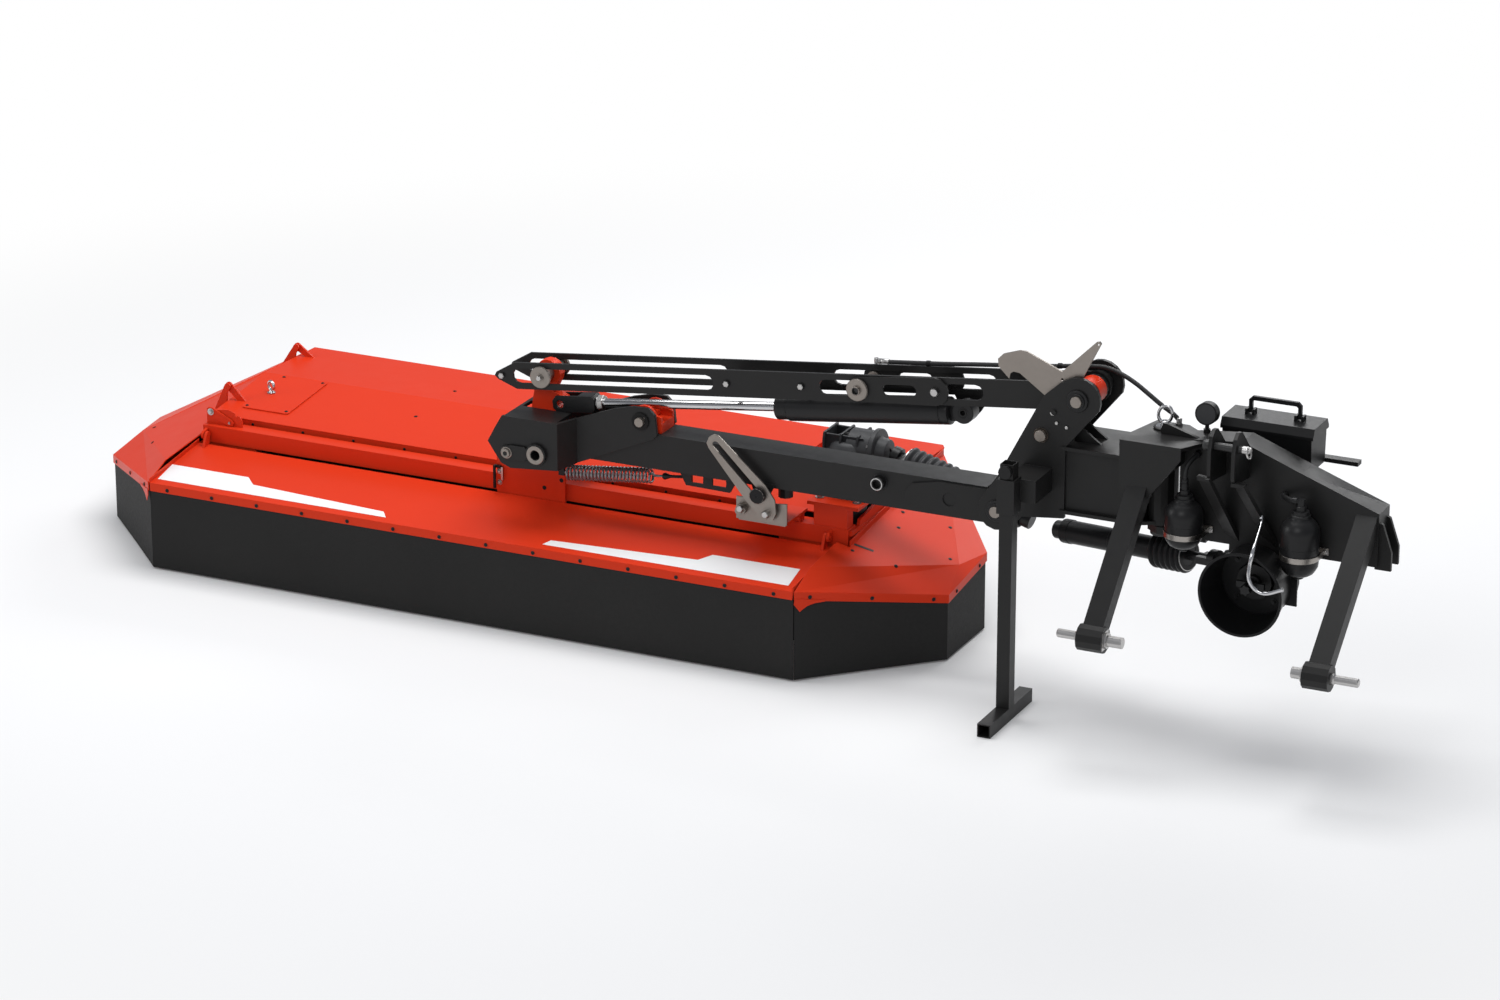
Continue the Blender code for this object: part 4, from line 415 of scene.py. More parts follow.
def hexBolt(place, direction, across, height, washer=True):
    # hexagon head on a round washer, standing on a face
    base = turnTo(direction, place)
    meshes = []
    rise = across * 0.14 if washer else 0.0
    if washer:
        meshes.append(lathe([(0, 0), (across * 0.95, 0), (across * 0.95, across * 0.16), (0, across * 0.16)],
            place, direction, 20))
    meshes.append(extrude(ring(6, across * 0.62), height, base @ Matrix.Translation((0, 0, rise))))
    meshes.append(lathe([(0, 0), (across * 0.5, 0), (across * 0.44, height * 0.16), (0, height * 0.16)],
        base @ Vector((0, 0, rise + height)), direction, 16))
    return merge(meshes)


def domeScrew(place, direction, radius=0.0068, high=0.0036):
    return lathe([(0, 0), (radius, 0), (radius, high * 0.35), (radius * 0.82, high * 0.8),
        (radius * 0.42, high), (radius * 0.4, high * 0.45), (0, high * 0.45)], place, direction, 18)


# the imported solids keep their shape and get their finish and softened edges
def softenNode(name, material):
    node = nodes[name]
    node.data.materials.clear()
    node.data.materials.append(material)
    for face in node.data.polygons:
        face.material_index = 0
    node.modifiers.new("weld", "WELD").merge_threshold = 0.00002
    roundEdges(node, 0.0015, angle=38)


plainNodes = {
    "redPaint": "front_cover top_cover right_cover left_flap deck_frame upright arm_head hatch",
    "darkPaint": "headstock swing_frame arm yoke link_bars link_slider cutterbar stand_leg "
                 "input_gearbox gearbox",
    "bareSteel": "limiter_plate transport_hook top_link_pin " + " ".join(
        f"{kind}_{k}" for kind in ("disc", "knives") for k in range(1, 8)),
    "zincSteel": "arm_pin link_pin roller_rear roller_front roller_front_far "
                 "shaft_left shaft_right input_shaft",
    "chrome": "swing_pin ram_rod",
    "blackPaint": "ram_barrel accumulator_left accumulator_right pto_guard",
    "blackPlastic": "toolbox toolbox_lid toolbox_handle",
    "greyPlastic": "guard_left guard_right",
    "springSteel": "spring",
    "hoseRubber": "hose",
    "curtainCloth": "curtain_front curtain_left curtain_right curtain_rear",
}
zonesFor = {
    "arm_head": [("darkPaint", [((0.535, -0.303, 0.709), (0.599, -0.2962, 0.773)),
                                ((0.535, -0.144, 0.709), (0.599, -0.133, 0.773))]),
                 ("bareSteel", [((0.55, -0.315, 0.724), (0.584, -0.3023, 0.758)),
                                ((0.54, -0.2842, 0.714), (0.594, -0.2682, 0.768))])],
    "deck_frame": [("bareSteel", [((0.905, -0.335, 0.45), (1.1, -0.2835, 0.54))])],
    "headstock": [("zincSteel", [((low, -0.748, 0.396), (high, -0.692, 0.454)) for low, high in (
        (2.215, 2.3032), (2.3465, 2.46), (2.99, 3.0865), (3.1298, 3.23))])],
    "stand_leg": [("blackPlastic", [((1.93, -0.54, 0.815), (1.99, -0.514, 0.885))])],
}
for look, names in plainNodes.items():
    for name in names.split():
        softenNode(name, makeMaterial(name + "Finish", look, zonesFor.get(name, ())))
print("nodes finished")

# distances that several pieces share
deckSize = {"halfLen": 1.217, "frontY": -0.5, "rearY": 0.65, "endX": 1.603, "flangeZ": 0.317,
            "flangeH": 0.03, "slopeX": 0.33, "slopeY": 0.122}
halfLen, frontY, rearY, endX = (deckSize[k] for k in ("halfLen", "frontY", "rearY", "endX"))
linkFrom = Vector((0.194, armY, 0.838))
linkTo = Vector((2.124, armY, 1.051))
linkWay = (linkTo - linkFrom).normalized()
linkSide = Vector((-linkWay.z, 0, linkWay.x))
ramFrom = Vector((1.696, armY, 0.9215))
ramTo = Vector((0.242, armY, 0.737))
ramWay = (ramTo - ramFrom).normalized()
pinAt = {"arm": (1.854, 0.64), "link": (2.124, 1.051), "spare": (2.003, 0.92), "deck": (0.22, 0.598),
         "lock": (0.11, 0.59)}


def roofZ(x, y):
    return (deckSize["flangeZ"] - deckSize["slopeX"] * max(abs(x) - halfLen, 0)
            + deckSize["slopeY"] * (y - frontY))


def onLink(along, across=0.0, y=0.0):
    return linkFrom + linkWay * along + linkSide * across + toRear * y


def onRam(along):
    return ramFrom + ramWay * along


# curtains: hanging sheets of coated cloth
curtainSize = {"low": 0.0065, "thick": 0.0042, "wave": 0.0007, "column": 0.045, "levels": 10, "tuck": 0.016,
               "cornerY": (-0.116, 0.204), "frontTop": 0.309, "rearTop": 0.4, "sideTop": 0.301,
               "inward": 0.0043, "sideInward": 0.005}


def offsetPath(points, inward):
    moved = []
    for k, (x, y) in enumerate(points):
        normals = []
        for a, b in ((k - 1, k), (k, k + 1)):
            if a >= 0 and b < len(points):
                run = Vector((points[b][0] - points[a][0], points[b][1] - points[a][1])).normalized()
                normals.append(Vector((-run.y, run.x)))
        middle = sum(normals, Vector((0, 0))).normalized()
        reach = inward / middle.dot(normals[0])
        moved.append((x + middle.x * reach, y + middle.y * reach))
    return moved


def makeCurtain(side, path, tops, inward, body):
    low, thick, levels = (curtainSize[k] for k in ("low", "thick", "levels"))
    outer = offsetPath(path, inward)
    spots = []
    length = 0.0
    for a, b, za, zb in zip(outer, outer[1:], tops, tops[1:]):
        span = (Vector(b) - Vector(a)).length
        count = max(2, round(span / curtainSize["column"]))
        for k in range(1 if spots else 0, count + 1):
            t = k / count
            spots.append((a[0] + (b[0] - a[0]) * t, a[1] + (b[1] - a[1]) * t, za + (zb - za) * t,
                length + span * t, k in (0, count)))
        length += span
    inner = offsetPath([spot[:2] for spot in spots], thick)
    mesh = bmesh.new()
    rings = []
    for (x, y, top, along, corner), (ix, iy) in zip(spots, inner):
        way = (Vector((ix, iy)) - Vector((x, y))) / thick
        column = []
        for level in range(levels + 1):
            t = level / levels
            z = low + (top - low) * t
            waves = 1 + sin(along * 9.0) * sin(along * 3.1 + 1.3)
            bow = 0 if corner else curtainSize["wave"] * (1 - t) * waves
            column.append([mesh.verts.new((px + way.x * bow, py + way.y * bow, z))
                for px, py in ((x, y), (ix, iy))])
        rings.append([pair[0] for pair in column] + [pair[1] for pair in column[::-1]])
    bridge(mesh, rings)
    for end in (rings[0], rings[-1]):
        for level in range(levels):
            mesh.faces.new((end[level], end[level + 1], end[-level - 2], end[-level - 1]))
    piece = pieceFrom(mesh, f"curtain_{side}Cloth", "curtainCloth", body, smooth=30, stands="curtain_" + side)


frontCorner, rearCorner = curtainSize["cornerY"]
sideTop, sideRear = (roofZ(endX, y) for y in curtainSize["cornerY"])
innerX = halfLen + 0.0045
sideTops = [curtainSize["sideTop"], sideTop - curtainSize["tuck"], sideRear - curtainSize["tuck"]]
sidePath = [(innerX, frontY + 0.0037), (endX, frontCorner), (endX, rearCorner)]
makeCurtain("front", [(0.002 - halfLen, frontY), (halfLen - 0.002, frontY)], [curtainSize["frontTop"]] * 2,
            curtainSize["inward"], "front_guard")
makeCurtain("left", [(-1.2235, rearY)] + [(-x, y) for x, y in sidePath[::-1]], [0.43] + sideTops[::-1],
            curtainSize["sideInward"], "end_guard")
makeCurtain("right", sidePath + [(1.262, 0.616)], sideTops + [0.426], curtainSize["sideInward"], "deck")
makeCurtain("rear", [(1.225, rearY), (-1.2175, rearY)], [curtainSize["rearTop"]] * 2, curtainSize["inward"],
            "deck")
print("curtains hung")

# white bands on the front cover
bandSize = {"lift": 0.0003, "thick": 0.0004, "margin": 0.004,
            "left": mm(-1202, -466, -1217, -351, -909, -352, -864, -397, -337, -430, -309, -466),
            "right": mm(286, -468, 299, -433, 825, -399, 856, -350, 1172, -348, 1184, -466)}
bandEnd = halfLen - bandSize["margin"]
for side in ("left", "right"):
    band = extrude([(max(min(x, bandEnd), -bandEnd), y) for x, y in bandSize[side]], bandSize["thick"])
    for vert in band.verts:
        vert.co.z += roofZ(vert.co.x, vert.co.y) + bandSize["lift"]
    pieceFrom(band, side + "BandDecal", "whiteBand", "front_guard", smooth=0)

# screws on the flanges of the covers
screwSize = {"count": 14, "firstX": -1.145, "pitch": 0.1763, "z": 0.2985, "low": -0.0165,
    "shares": ((0.1, 0.5, 0.9), (0.2, 0.8), (0.15, 0.5, 0.85))}


def flangeScrews(corners, shares):
    # on the outer faces of the flanges that join the corners
    screws = []
    for a, b, spots in zip(map(Vector, corners), map(Vector, corners[1:]), shares):
        run = b - a
        screws += [domeScrew(a + run * t, (run.y, -run.x, 0)) for t in spots]
    return screws


edgeLow = screwSize["low"]
pieceFrom([domeScrew((screwSize["firstX"] + screwSize["pitch"] * k, frontY, screwSize["z"]), toFront)
           for k in range(screwSize["count"])], "frontFlangeScrews", "blackPaint", "front_guard")
right = [(innerX, frontY, deckSize["flangeZ"] + edgeLow), (endX, frontCorner, sideTop + edgeLow),
         (endX, rearCorner, sideRear + edgeLow), (1.27, 0.607, 0.442 + edgeLow)]
left = [(-x, y, z) for x, y, z in right[:3]] + [(-1.24, rearY, 0.446 + edgeLow)]
pieceFrom(flangeScrews(right, screwSize["shares"]), "rightFlangeScrews", "blackPaint", "deck")
pieceFrom(flangeScrews(left[::-1], screwSize["shares"][::-1]), "leftFlangeScrews", "blackPaint", "end_guard")

# small pointed tabs below the flanges at the skirt's front corners
tabSize = {"thick": 0.0022, "outline": mm(2, 6, 2, -14, 26, -38, 34, -29, 50, -16, 75, -6, 110, 0, 110, 6)}
for side, body, corners, inset in (("right", "deck", right, 0),
        ("left", "end_guard", left, -tabSize["thick"])):
    start, end = Vector(corners[0]), Vector(corners[1])
    run = (end - start).normalized()
    face = run.cross(upward).normalized()
    rise = face.cross(run)
    place = axesAt(run, rise, face, start - rise * (deckSize["flangeH"] + edgeLow) + face * inset)
    pieceFrom(extrude(tabSize["outline"], tabSize["thick"], place), side + "CornerTab", "redPaint", body,
              smooth=0)

# tension spring: fine close coils that narrow at each end, with a straight lead at each end
springSize = {"start": (0.252, armY, 0.4892), "end": (0.572, armY, 0.5268), "coils": 24, "coilR": 0.023,
    "wireR": 0.0043, "perTurn": 18, "eyeBolt": 0.0405}
springFrom, springTo = Vector(springSize["start"]), Vector(springSize["end"])
springWay = (springTo - springFrom).normalized()
springUp = springWay.cross(toRear)
coilPath = [springFrom - springWay * 0.0082, springFrom - springWay * 0.0026]
turns = springSize["coils"] * springSize["perTurn"]
for k in range(turns + 1):
    turn = 2 * pi * k / springSize["perTurn"]
    reach = springSize["coilR"] * min(1.0, (k + 3) / 9, (turns - k + 3) / 9)
    coilPath.append(springFrom + (springTo - springFrom) * (k / turns) + toRear * reach * sin(turn)
        + springUp * reach * cos(turn))
coilPath += [springTo + springWay * 0.01, springTo + springWay * 0.04]
spring = pieceFrom(tube(coilPath, springSize["wireR"], 8), "springCoil", "springSteel", None, smooth=60,
    stands="spring")
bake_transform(spring)
eyeCone = lathe(mm(0, 1, 8, 0, 11.5, 3, 11.5, 8, 5.2, 28, 5.2, 90, 0, 90),
    springTo + springWay * springSize["eyeBolt"], springWay, 28)
pieceFrom(eyeCone, "springEyeBolt", "darkPaint", "arm")

# ram: barrel with its cap and eye, chrome rod, nut and fork
ramSize = {"barrelR": 0.046, "mouth": 0.668, "length": (ramTo - ramFrom).length, "forkHalf": 0.028,
    "slotHalf": 0.0186, "rodStop": 0.118, "nutAt": 0.156, "collarAt": 0.1355, "eyeAt": 0.016, "portAt": 0.105}
ramLen, mouth, slotHalf = ramSize["length"], ramSize["mouth"], ramSize["slotHalf"]
barrel = lathe(mm(0, 46, 39, 46, 45, 50, 46, 53, 46, 75.5, 44.5, 77, 44.5, 79, 46, 80.5)
    + mm(46, -46, 42, -42, 42, -3, 39, 0, 20, 0, 19.2, -4, 16.6, -4, rise=mouth) + mm(16.6, 85, 0, 85),
    ramFrom, ramWay, 64)
eyeFlat = extrude(mm(-30, -18, 30, -18, 30, 18, -30, 18), 0.04,
    axesAt((ramWay.z, 0, -ramWay.x), toRear, ramWay, onRam(ramSize["eyeAt"])))
eyeBoss = latheOnY(mm(14.8, -25, 18.5, -26.2, 18.5, -25, 35.5, -25, 37, -23.5, 37, 23.5, 35.5, 25, 18.5, 25,
    18.5, 26.2, 14.8, 25, 14.8, -25), (ramFrom.x, ramFrom.z), 56)
barrelPort = lathe(mm(0, 0, 12, 0, 12, 10, 8.5, 12, 8.5, 22, 0, 22),
    onRam(ramSize["portAt"]) + linkSide * (ramSize["barrelR"] - 0.003) + toRear * 0.012, linkSide, 20)
pieceFrom([barrel, eyeFlat, eyeBoss, barrelPort], "ramBarrel", "blackPaint", "ram", stands="ram_barrel")
rodMesh = lathe(mm(0, 640, 14.5, 640, 15.5, 642) + mm(15.5, 0, 0, 0, rise=ramLen - ramSize["rodStop"]),
    ramFrom, ramWay, 48)
pieceFrom(rodMesh, "ramRod", "chrome", "ram_rod", stands="ram_rod")
nutMesh = extrude(ring(6, 0.0275, pi / 6), 0.02, turnTo(ramWay, onRam(ramLen - ramSize["nutAt"])))
collarMesh = lathe(mm(15.6, 0, 22, 0, 22, 4, 15.6, 4), onRam(ramLen - ramSize["collarAt"]), ramWay, 32)
pieceFrom([nutMesh, collarMesh], "ramLockNut", "zincSteel", "ram_rod", bevel=0.0016, steps=3)
forkPlace = axesAt(ramWay, toRear, (-ramWay.z, 0, ramWay.x), ramTo)
forkOutline = mm(-130, 18, -122, 29, 12, 29, 27, 13, 27, -13, 12, -29, -122, -29, -130, -18)
blockOutline = mm(-130, 18, -122, 28.8, -66, 28.8, -66, -28.8, -122, -28.8, -130, -18)
forkMeshes = [plateOnY(forkOutline, *sorted((way * slotHalf, way * ramSize["forkHalf"])),
    [(0, 0, 0.0135)], forkPlace) for way in (-1, 1)]
forkMeshes.append(plateOnY(blockOutline, -slotHalf - 0.001, slotHalf + 0.001, (), forkPlace))
pieceFrom(forkMeshes, "ramFork", "blackPaint", "ram_rod", bevel=0.0022, steps=3)

# pins with their washers and retaining rings
pinHead = {"reach": 0.1078, "zoneR": 0.0194, "zoneFrom": 0.14, "zoneTo": 0.116}
reach, zoneR = pinHead["reach"], pinHead["zoneR"]
for label in ("arm", "link"):
    x, z = pinAt[label]
    zone = ((x - zoneR, armY - pinHead["zoneFrom"], z - zoneR),
        (x + zoneR, armY - pinHead["zoneTo"], z + zoneR))
    look = makeMaterial(label + "PinFinish", "blackPaint", [("bareSteel", [zone])])
    profile = (mm(0, -20, 17.2, -20, 19, -18.2, 19, -8, 34, -8, 36, -6, 36, 0, 24.7, 0, rise=-reach)
               + mm(24.7, 0, 34, 0, 34, 6, 32, 8, 0, 8, rise=reach))
    pieceFrom(latheOnY(profile, (x, z), 56), label + "PivotPin", look, "swing", stands=label + "_pin")
    collar = mm(19.2, -12.5, 25.5, -12.5, 26.2, -11.5, 26.2, -8.2, 19.2, -8.2, rise=-reach)
    pieceFrom(latheOnY(collar, (x, z), 40), label + "PinCollar", "blackPaint", "swing")
spareFace = mm(0, -124.5, 17.2, -124.5, 19, -122.8, 19, -107.5, 24.5, -112.5, 24.5, -107.2, 27.2, -107.2)
pieceFrom(latheOnY(spareFace, pinAt["spare"], 40), "spareHoleBush", "bareSteel", "swing")

# guide rollers: axle, sleeve in the slot, outer disc, bolt and nut
rollerSize = {"rearAt": 1.161, "boreHalf": (0.0112, 0.0929, 0.0112)}


def rollerProfile(sleeveR, sleeveFrom, discIn, discOut):
    # half of a roller up to its nut, measured outwards from the arm's middle plane
    return (mm(12, 0, sleeveR - 0.6, 0, sleeveR, 0.6, rise=sleeveFrom)
        + mm(sleeveR, 61.4, sleeveR - 0.6, 62, 12, 62)
        + mm(12, 0, 35.5, 0, 37, 1.5, 37, 3.8, 35.4, 4.4, 35.4, 5.4, 37, 6, rise=discIn)
        + mm(37, -1.6, 35.4, 0, 14.5, 0, rise=discOut))


rearAt = onLink(rollerSize["rearAt"])
rearHalf = (rollerProfile(22.8, 0.0511, 0.0725, 0.0835)
    + mm(14.5, 92.3, 13.5, 93.3, 11, 92.5, 11, 84.3, 0, 84.3))
rearMeshes = [lathe(rearHalf, rearAt, toRear, 56),
    lathe([(radius, -height) for radius, height in rearHalf], rearAt, toRear, 56),
    lathe(mm(0, -80, 11.9, -80, 11.9, 80, 0, 80), rearAt, toRear, 32)]
boreHalf = Vector(rollerSize["boreHalf"])
rearLook = makeMaterial("rearRollerFinish", "bareSteel",
    [("blackPaint", [(rearAt - boreHalf, rearAt + boreHalf)])])
pieceFrom(rearMeshes, "rearGuideRoller", rearLook, "rear_roller", stands="roller_rear")
frontHalf = mm(0, 18.4) + rollerProfile(25.4, 0.0184, 0.066, 0.077) + mm(14.5, 79, 0, 77)
for name, way in (("roller_front", toFront), ("roller_front_far", toRear)):
    pieceFrom(lathe(frontHalf, onLink(0), way, 56), name + "Disc", "bareSteel", "front_roller", stands=name)
    boltMesh = hexBolt(onLink(0) + way * 0.0765, way, 0.015, 0.009, washer=False)
    tipMesh = lathe(mm(0, 0, 8.2, 0, 8.2, 2.2, 7.2, 3, 0, 3), onLink(0) + way * 0.0853, way, 24)
    pieceFrom([boltMesh, tipMesh], name + "Bolt", "zincSteel", "front_roller")
print("ram, pins and rollers made")

# guard tubes and bellows of the driveline
driveSize = {"middle": (1.905, -0.045, 0.5), "right": (2.611, -0.27, 0.568), "left": (1.335, 0.0, 0.65),
    "bore": 0.0345}
driveMiddle = Vector(driveSize["middle"])
ribShape = ((0.0, 0.0108), (0.1, 0.01), (0.22, 0.004), (0.36, 0.0006), (0.5, 0.0), (0.64, 0.0006),
            (0.78, 0.004), (0.9, 0.01))


def driveLine(side):
    # start and direction of a shaft half, and its distance to the middle joint
    start = Vector(driveSize[side])
    return start, (driveMiddle - start).normalized(), (driveMiddle - start).length


def bellowsProfile(radius, ribCount, pitch):
    # round-topped ribs outside, smooth bore inside
    profile = [(radius - depth, pitch * (k + share)) for k in range(ribCount) for share, depth in ribShape]
    end, foot, bore = pitch * ribCount, radius - ribShape[0][1], driveSize["bore"]
    return profile + [(foot, end), (bore, end), (bore, 0), (foot, 0)]


guards = {"right": {"first": 0.266, "last": 0.09, "bellowsAt": 0.142, "bellowsR": 0.06, "ribs": 6,
                    "pitch": 0.022, "clips": (0.146, 0.262), "look": "blackPlastic", "body": "headstock"},
          "left": {"first": 0.238, "last": 0.08, "bellowsAt": 0.068, "bellowsR": 0.056, "ribs": 7,
                   "pitch": 0.0255, "clips": (0.072, 0.2425), "look": "greyPlastic", "body": "deck"}}
for side, size in guards.items():
    start, way, whole = driveLine(side)
    span = whole - size["last"] - size["first"]
    band = [(radius, span * share)
        for radius, share in ((0.038, 0.42), (0.0398, 0.425), (0.0398, 0.47), (0.038, 0.475))]
    profile = (mm(34, 0, 37, 0, 38, 1) + band + mm(38, -32, 40, -30, 40, -1, 39, 0, 34, 0, rise=span)
        + mm(34, 0))
    pieceFrom(lathe(profile, start + way * size["first"], way, 56), side + "GuardTube", "blackPlastic",
        size["body"], stands="guard_" + side)
    folds = lathe(bellowsProfile(size["bellowsR"], size["ribs"], size["pitch"]),
        start + way * size["bellowsAt"], way, 56)
    pieceFrom(folds, side + "GuardBellows", size["look"], size["body"], smooth=60)
    radius = size["bellowsR"] - 0.0105
    for at, name in zip(size["clips"], ("In", "Out")):
        clip = [(radius, -0.004), (radius + 0.0024, -0.0035), (radius + 0.0024, 0.0035), (radius, 0.004)]
        pieceFrom(lathe(clip, start + way * at, way, 48), side + "GuardClip" + name, "zincSteel",
            size["body"])

for side, near, tubeFrom, short in (("right", 0.024, 0.143, 0.055), ("left", 0.014, 0.072, 0.045)):
    start, way, whole = driveLine(side)
    profile = (mm(0, 4, 10, 4) + mm(10, 0, 34, 0, 34, 26, 16, 28, rise=near)
               + mm(16, 0, 33.8, 0, 33.8, 28, 16, 32, rise=tubeFrom)
               + mm(16, -60, 28, -58, 30, -52, 30, -2, 28, 0, 0, 0, rise=whole - short))
    forkFrom, forkTo = near + 0.018, min(near + 0.07, tubeFrom + 0.006)
    fork = extrude(mm(-31, -12, 31, -12, 31, 12, -31, 12), forkTo - forkFrom,
        turnTo(way, start + way * forkFrom))
    pieceFrom([lathe(profile, start, way, 40), fork], side + "DriveShaft", "blackPaint", side + "_shaft",
              stands="shaft_" + side)

# splined input stub inside its guard cone
ptoSize = {"x": 2.745, "z": 0.556, "guardY": -0.5, "stubY": -0.452, "splines": 6, "deep": 0.1547,
           "tooth": ((0.06, 0.0146), (0.1, 0.0175), (0.5, 0.0175), (0.54, 0.0146))}
ptoX, ptoZ, deep = ptoSize["x"], ptoSize["z"], ptoSize["deep"]
stubAt = (ptoX, ptoSize["stubY"], ptoZ)
splineOutline = [ring(1, radius, 2 * pi * (k + share) / ptoSize["splines"])[0]
    for k in range(ptoSize["splines"]) for share, radius in ptoSize["tooth"]]
stubTip = mm(0, -0.2, 13, -0.2, 14.6, 2, 14.6, 21, 13, 22, 13, 30, 14.6, 31, 14.6, 70, 23.5, 71, 24.8, 73,
    24.8, 117.8, 0, 117.8)
flinger = boxMesh((ptoX - 0.046, -0.404, ptoZ - 0.01), (ptoX + 0.046, -0.392, ptoZ + 0.01))
pieceFrom([extrude(splineOutline, 0.07, turnTo(toRear, stubAt)), lathe(stubTip, stubAt, toRear, 36),
    flinger], "inputStub", "blackPaint", "input", bevel=0.0006, stands="input_shaft")
cone = (mm(130, 1.2, 134.5, 0, 138, 1, 139, 4, 137.5, 7, 135, 20, 119, 118, 118.2, 124)
        + mm(118.2, -3, 116, 0, 62, 0, 62, -4.5, 112.5, -4.5, rise=deep) + mm(112.5, 120, 129, 14, 130, 1.2))
pieceFrom([lathe(cone, (ptoX, ptoSize["guardY"], ptoZ), toRear, 72),
           boxMesh((2.84, -0.352, 0.49), (2.882, -0.346, 0.594)),
           boxMesh((2.838, -0.356, 0.5), (2.85, -0.344, 0.585))],
          "inputGuardCone", "blackPlastic", "headstock", stands="pto_guard")
pieceFrom([hexBolt((ptoX + x, -0.351, ptoZ + z), toFront, 0.011, 0.006) for x, z in ring(4, 0.088, pi / 4)],
          "guardConeScrews", "blackPaint", "headstock")

# accumulators: dark shells with a brushed clamp band, neck and hose elbow
accumulatorSize = {"y": -0.385, "frameY": -0.3203,
                   "left": {"x": 2.512, "low": 0.632, "top": 0.812, "band": 0.69},
                   "right": {"x": 2.897, "low": 0.6, "top": 0.817, "band": 0.676}}
y, frameY = accumulatorSize["y"], accumulatorSize["frameY"]
for side in ("left", "right"):
    x, low, top, band = (accumulatorSize[side][k] for k in ("x", "low", "top", "band"))
    if side == "left":
        route = [(x, y, top + 0.03), (x + 0.002, y, top + 0.086), (x + 0.01, y + 0.012, top + 0.11),
                 (x + 0.018, -0.34, top + 0.122), (x + 0.018, frameY, top + 0.122)]
    else:
        route = [(x, y, top + 0.036), (x - 0.03, y, top + 0.036), (x - 0.06, y + 0.03, top + 0.03),
                 (x - 0.075, -0.336, top + 0.026), (x - 0.075, frameY, top + 0.026)]
    route = [Vector(point) for point in route]
    shell = (mm(0, 0, 13.5, 0, 16, 2, 18, 12, 36, 14.5, 46, 21, 53, 31, 59.5, 43, 61, 52, rise=low)
        + mm(61, -62, 59, -48, 53, -36, 43, -24, 33, -17, 31, -13, 31, -6, 26, -4, 26, 6, 16.5, 8, 16.5, 22,
        12.5, 24, 12.5, 44, 0, 45, rise=top))
    seam = mm(60.8, 30, 61.8, 30.5, 61.8, 32.5, 60.8, 33, rise=band)
    meshes = [lathe(profile, (x, y, 0), upward, 64) for profile in (shell, seam)]
    for a, b, inset in ((route[0], route[1], 0.012), (route[-1], route[-2], 0.002)):
        way = (b - a).normalized()
        meshes.append(lathe(mm(0, 0, 10.5, 0, 11.2, 1, 11.2, 15, 10, 17, 0, 17), a + way * inset, way, 24))
    pieceFrom(meshes, side + "Accumulator", "blackPaint", "headstock", stands="accumulator_" + side)
    pieceFrom(tube(curvePoints(route, 8), 0.0078, 18), side + "AccumulatorHose", "hoseRubber", "headstock",
              smooth=60)
    clamp = mm(60.9, -9, 62.6, -9, 63.2, -8.4, 63.2, 8.4, 62.6, 9, 60.9, 9, rise=band)
    meshes = [lathe(clamp, (x, y, 0), upward, 64),
              boxMesh((x - 0.086, -0.3245, band - 0.01), (x + 0.074, frameY, band + 0.012))]
    meshes += [boxMesh((x + s - 0.0012, y, band - 0.009), (x + s + 0.0012, -0.322, band + 0.009))
               for s in (-0.062, 0.062)]
    pieceFrom(meshes, side + "AccumulatorBand", "brushedBand", "headstock", bevel=0.0004)
    pieceFrom([hexBolt((x + s, -0.3245, band), toFront, 0.01, 0.0055) for s in (-0.078, 0.066)],
              side + "AccumulatorBolts", "zincSteel", "headstock")
print("driveline, guard and accumulators made")

# bevel gearbox: ribbed grey casting on its seat
gearSize = {"x": 1.2, "inputZ": 0.65, "ribThick": 0.008}
gearX, inputZ, ribThick = (gearSize[k] for k in ("x", "inputZ", "ribThick"))
gearMeshes = [
    lathe(mm(0, 500.3, 80, 500.3, 82, 502, 84, 506, 90.5, 518, 92, 526, 92, 566, 93.5, 568, 93.5, 576,
             92, 578, 92, 624, 90, 636, 84, 655, 74, 674, 64, 683, 56, 685, 0, 685),
          (gearX, 0, 0), upward, 64),
    lathe(mm(0, 0, 68, 0, 68, 78, 71, 82, 78, 84, 78, 98, 76.5, 100, 53, 100, 50, 106, 47, 130,
             44, 134.5, 16, 134.5, 16, 130, 0, 130), (gearX, 0, inputZ), toRight, 56),
    lathe(mm(0, 272, 46, 272, 50, 276, 50, 470, 53, 474, 53, 486, 50, 488, 50, 506, 0, 506),
          (gearX, 0, 0), upward, 48)]
for k in range(3):
    gearMeshes.append(extrude(mm(-62, 640, 62, 640, 62, 690, 54, 712, -54, 712, -62, 690), ribThick,
        axesAt(toRear, upward, toRight, (gearX - 0.082 + 0.06 * k, 0, 0))))
for y in (-0.045, 0.045):
    gearMeshes.append(extrude(mm(-80, 645, 64, 645, 64, 698, 58, 706, -74, 706, -80, 698), ribThick,
        axesAt(toRight, upward, toRear, (gearX, y - ribThick / 2, 0))))
pieceFrom(gearMeshes, "bevelGearbox", "castGrey", "deck", bevel=0.0016, stands="gearbox")
gearBolts = [hexBolt((gearX + 0.0845, y, inputZ + z), -toRight, 0.012, 0.007)
    for y, z in ring(6, 0.0635, pi / 6)]
gearBolts.append(hexBolt((gearX - 0.012, 0.0, 0.6845), upward, 0.02, 0.01))
gearBolts += [hexBolt((gearX + x, -0.105, 0.5), upward, 0.016, 0.009) for x in (-0.07, 0.065)]
pieceFrom(gearBolts, "gearboxBolts", "zincSteel", "deck")

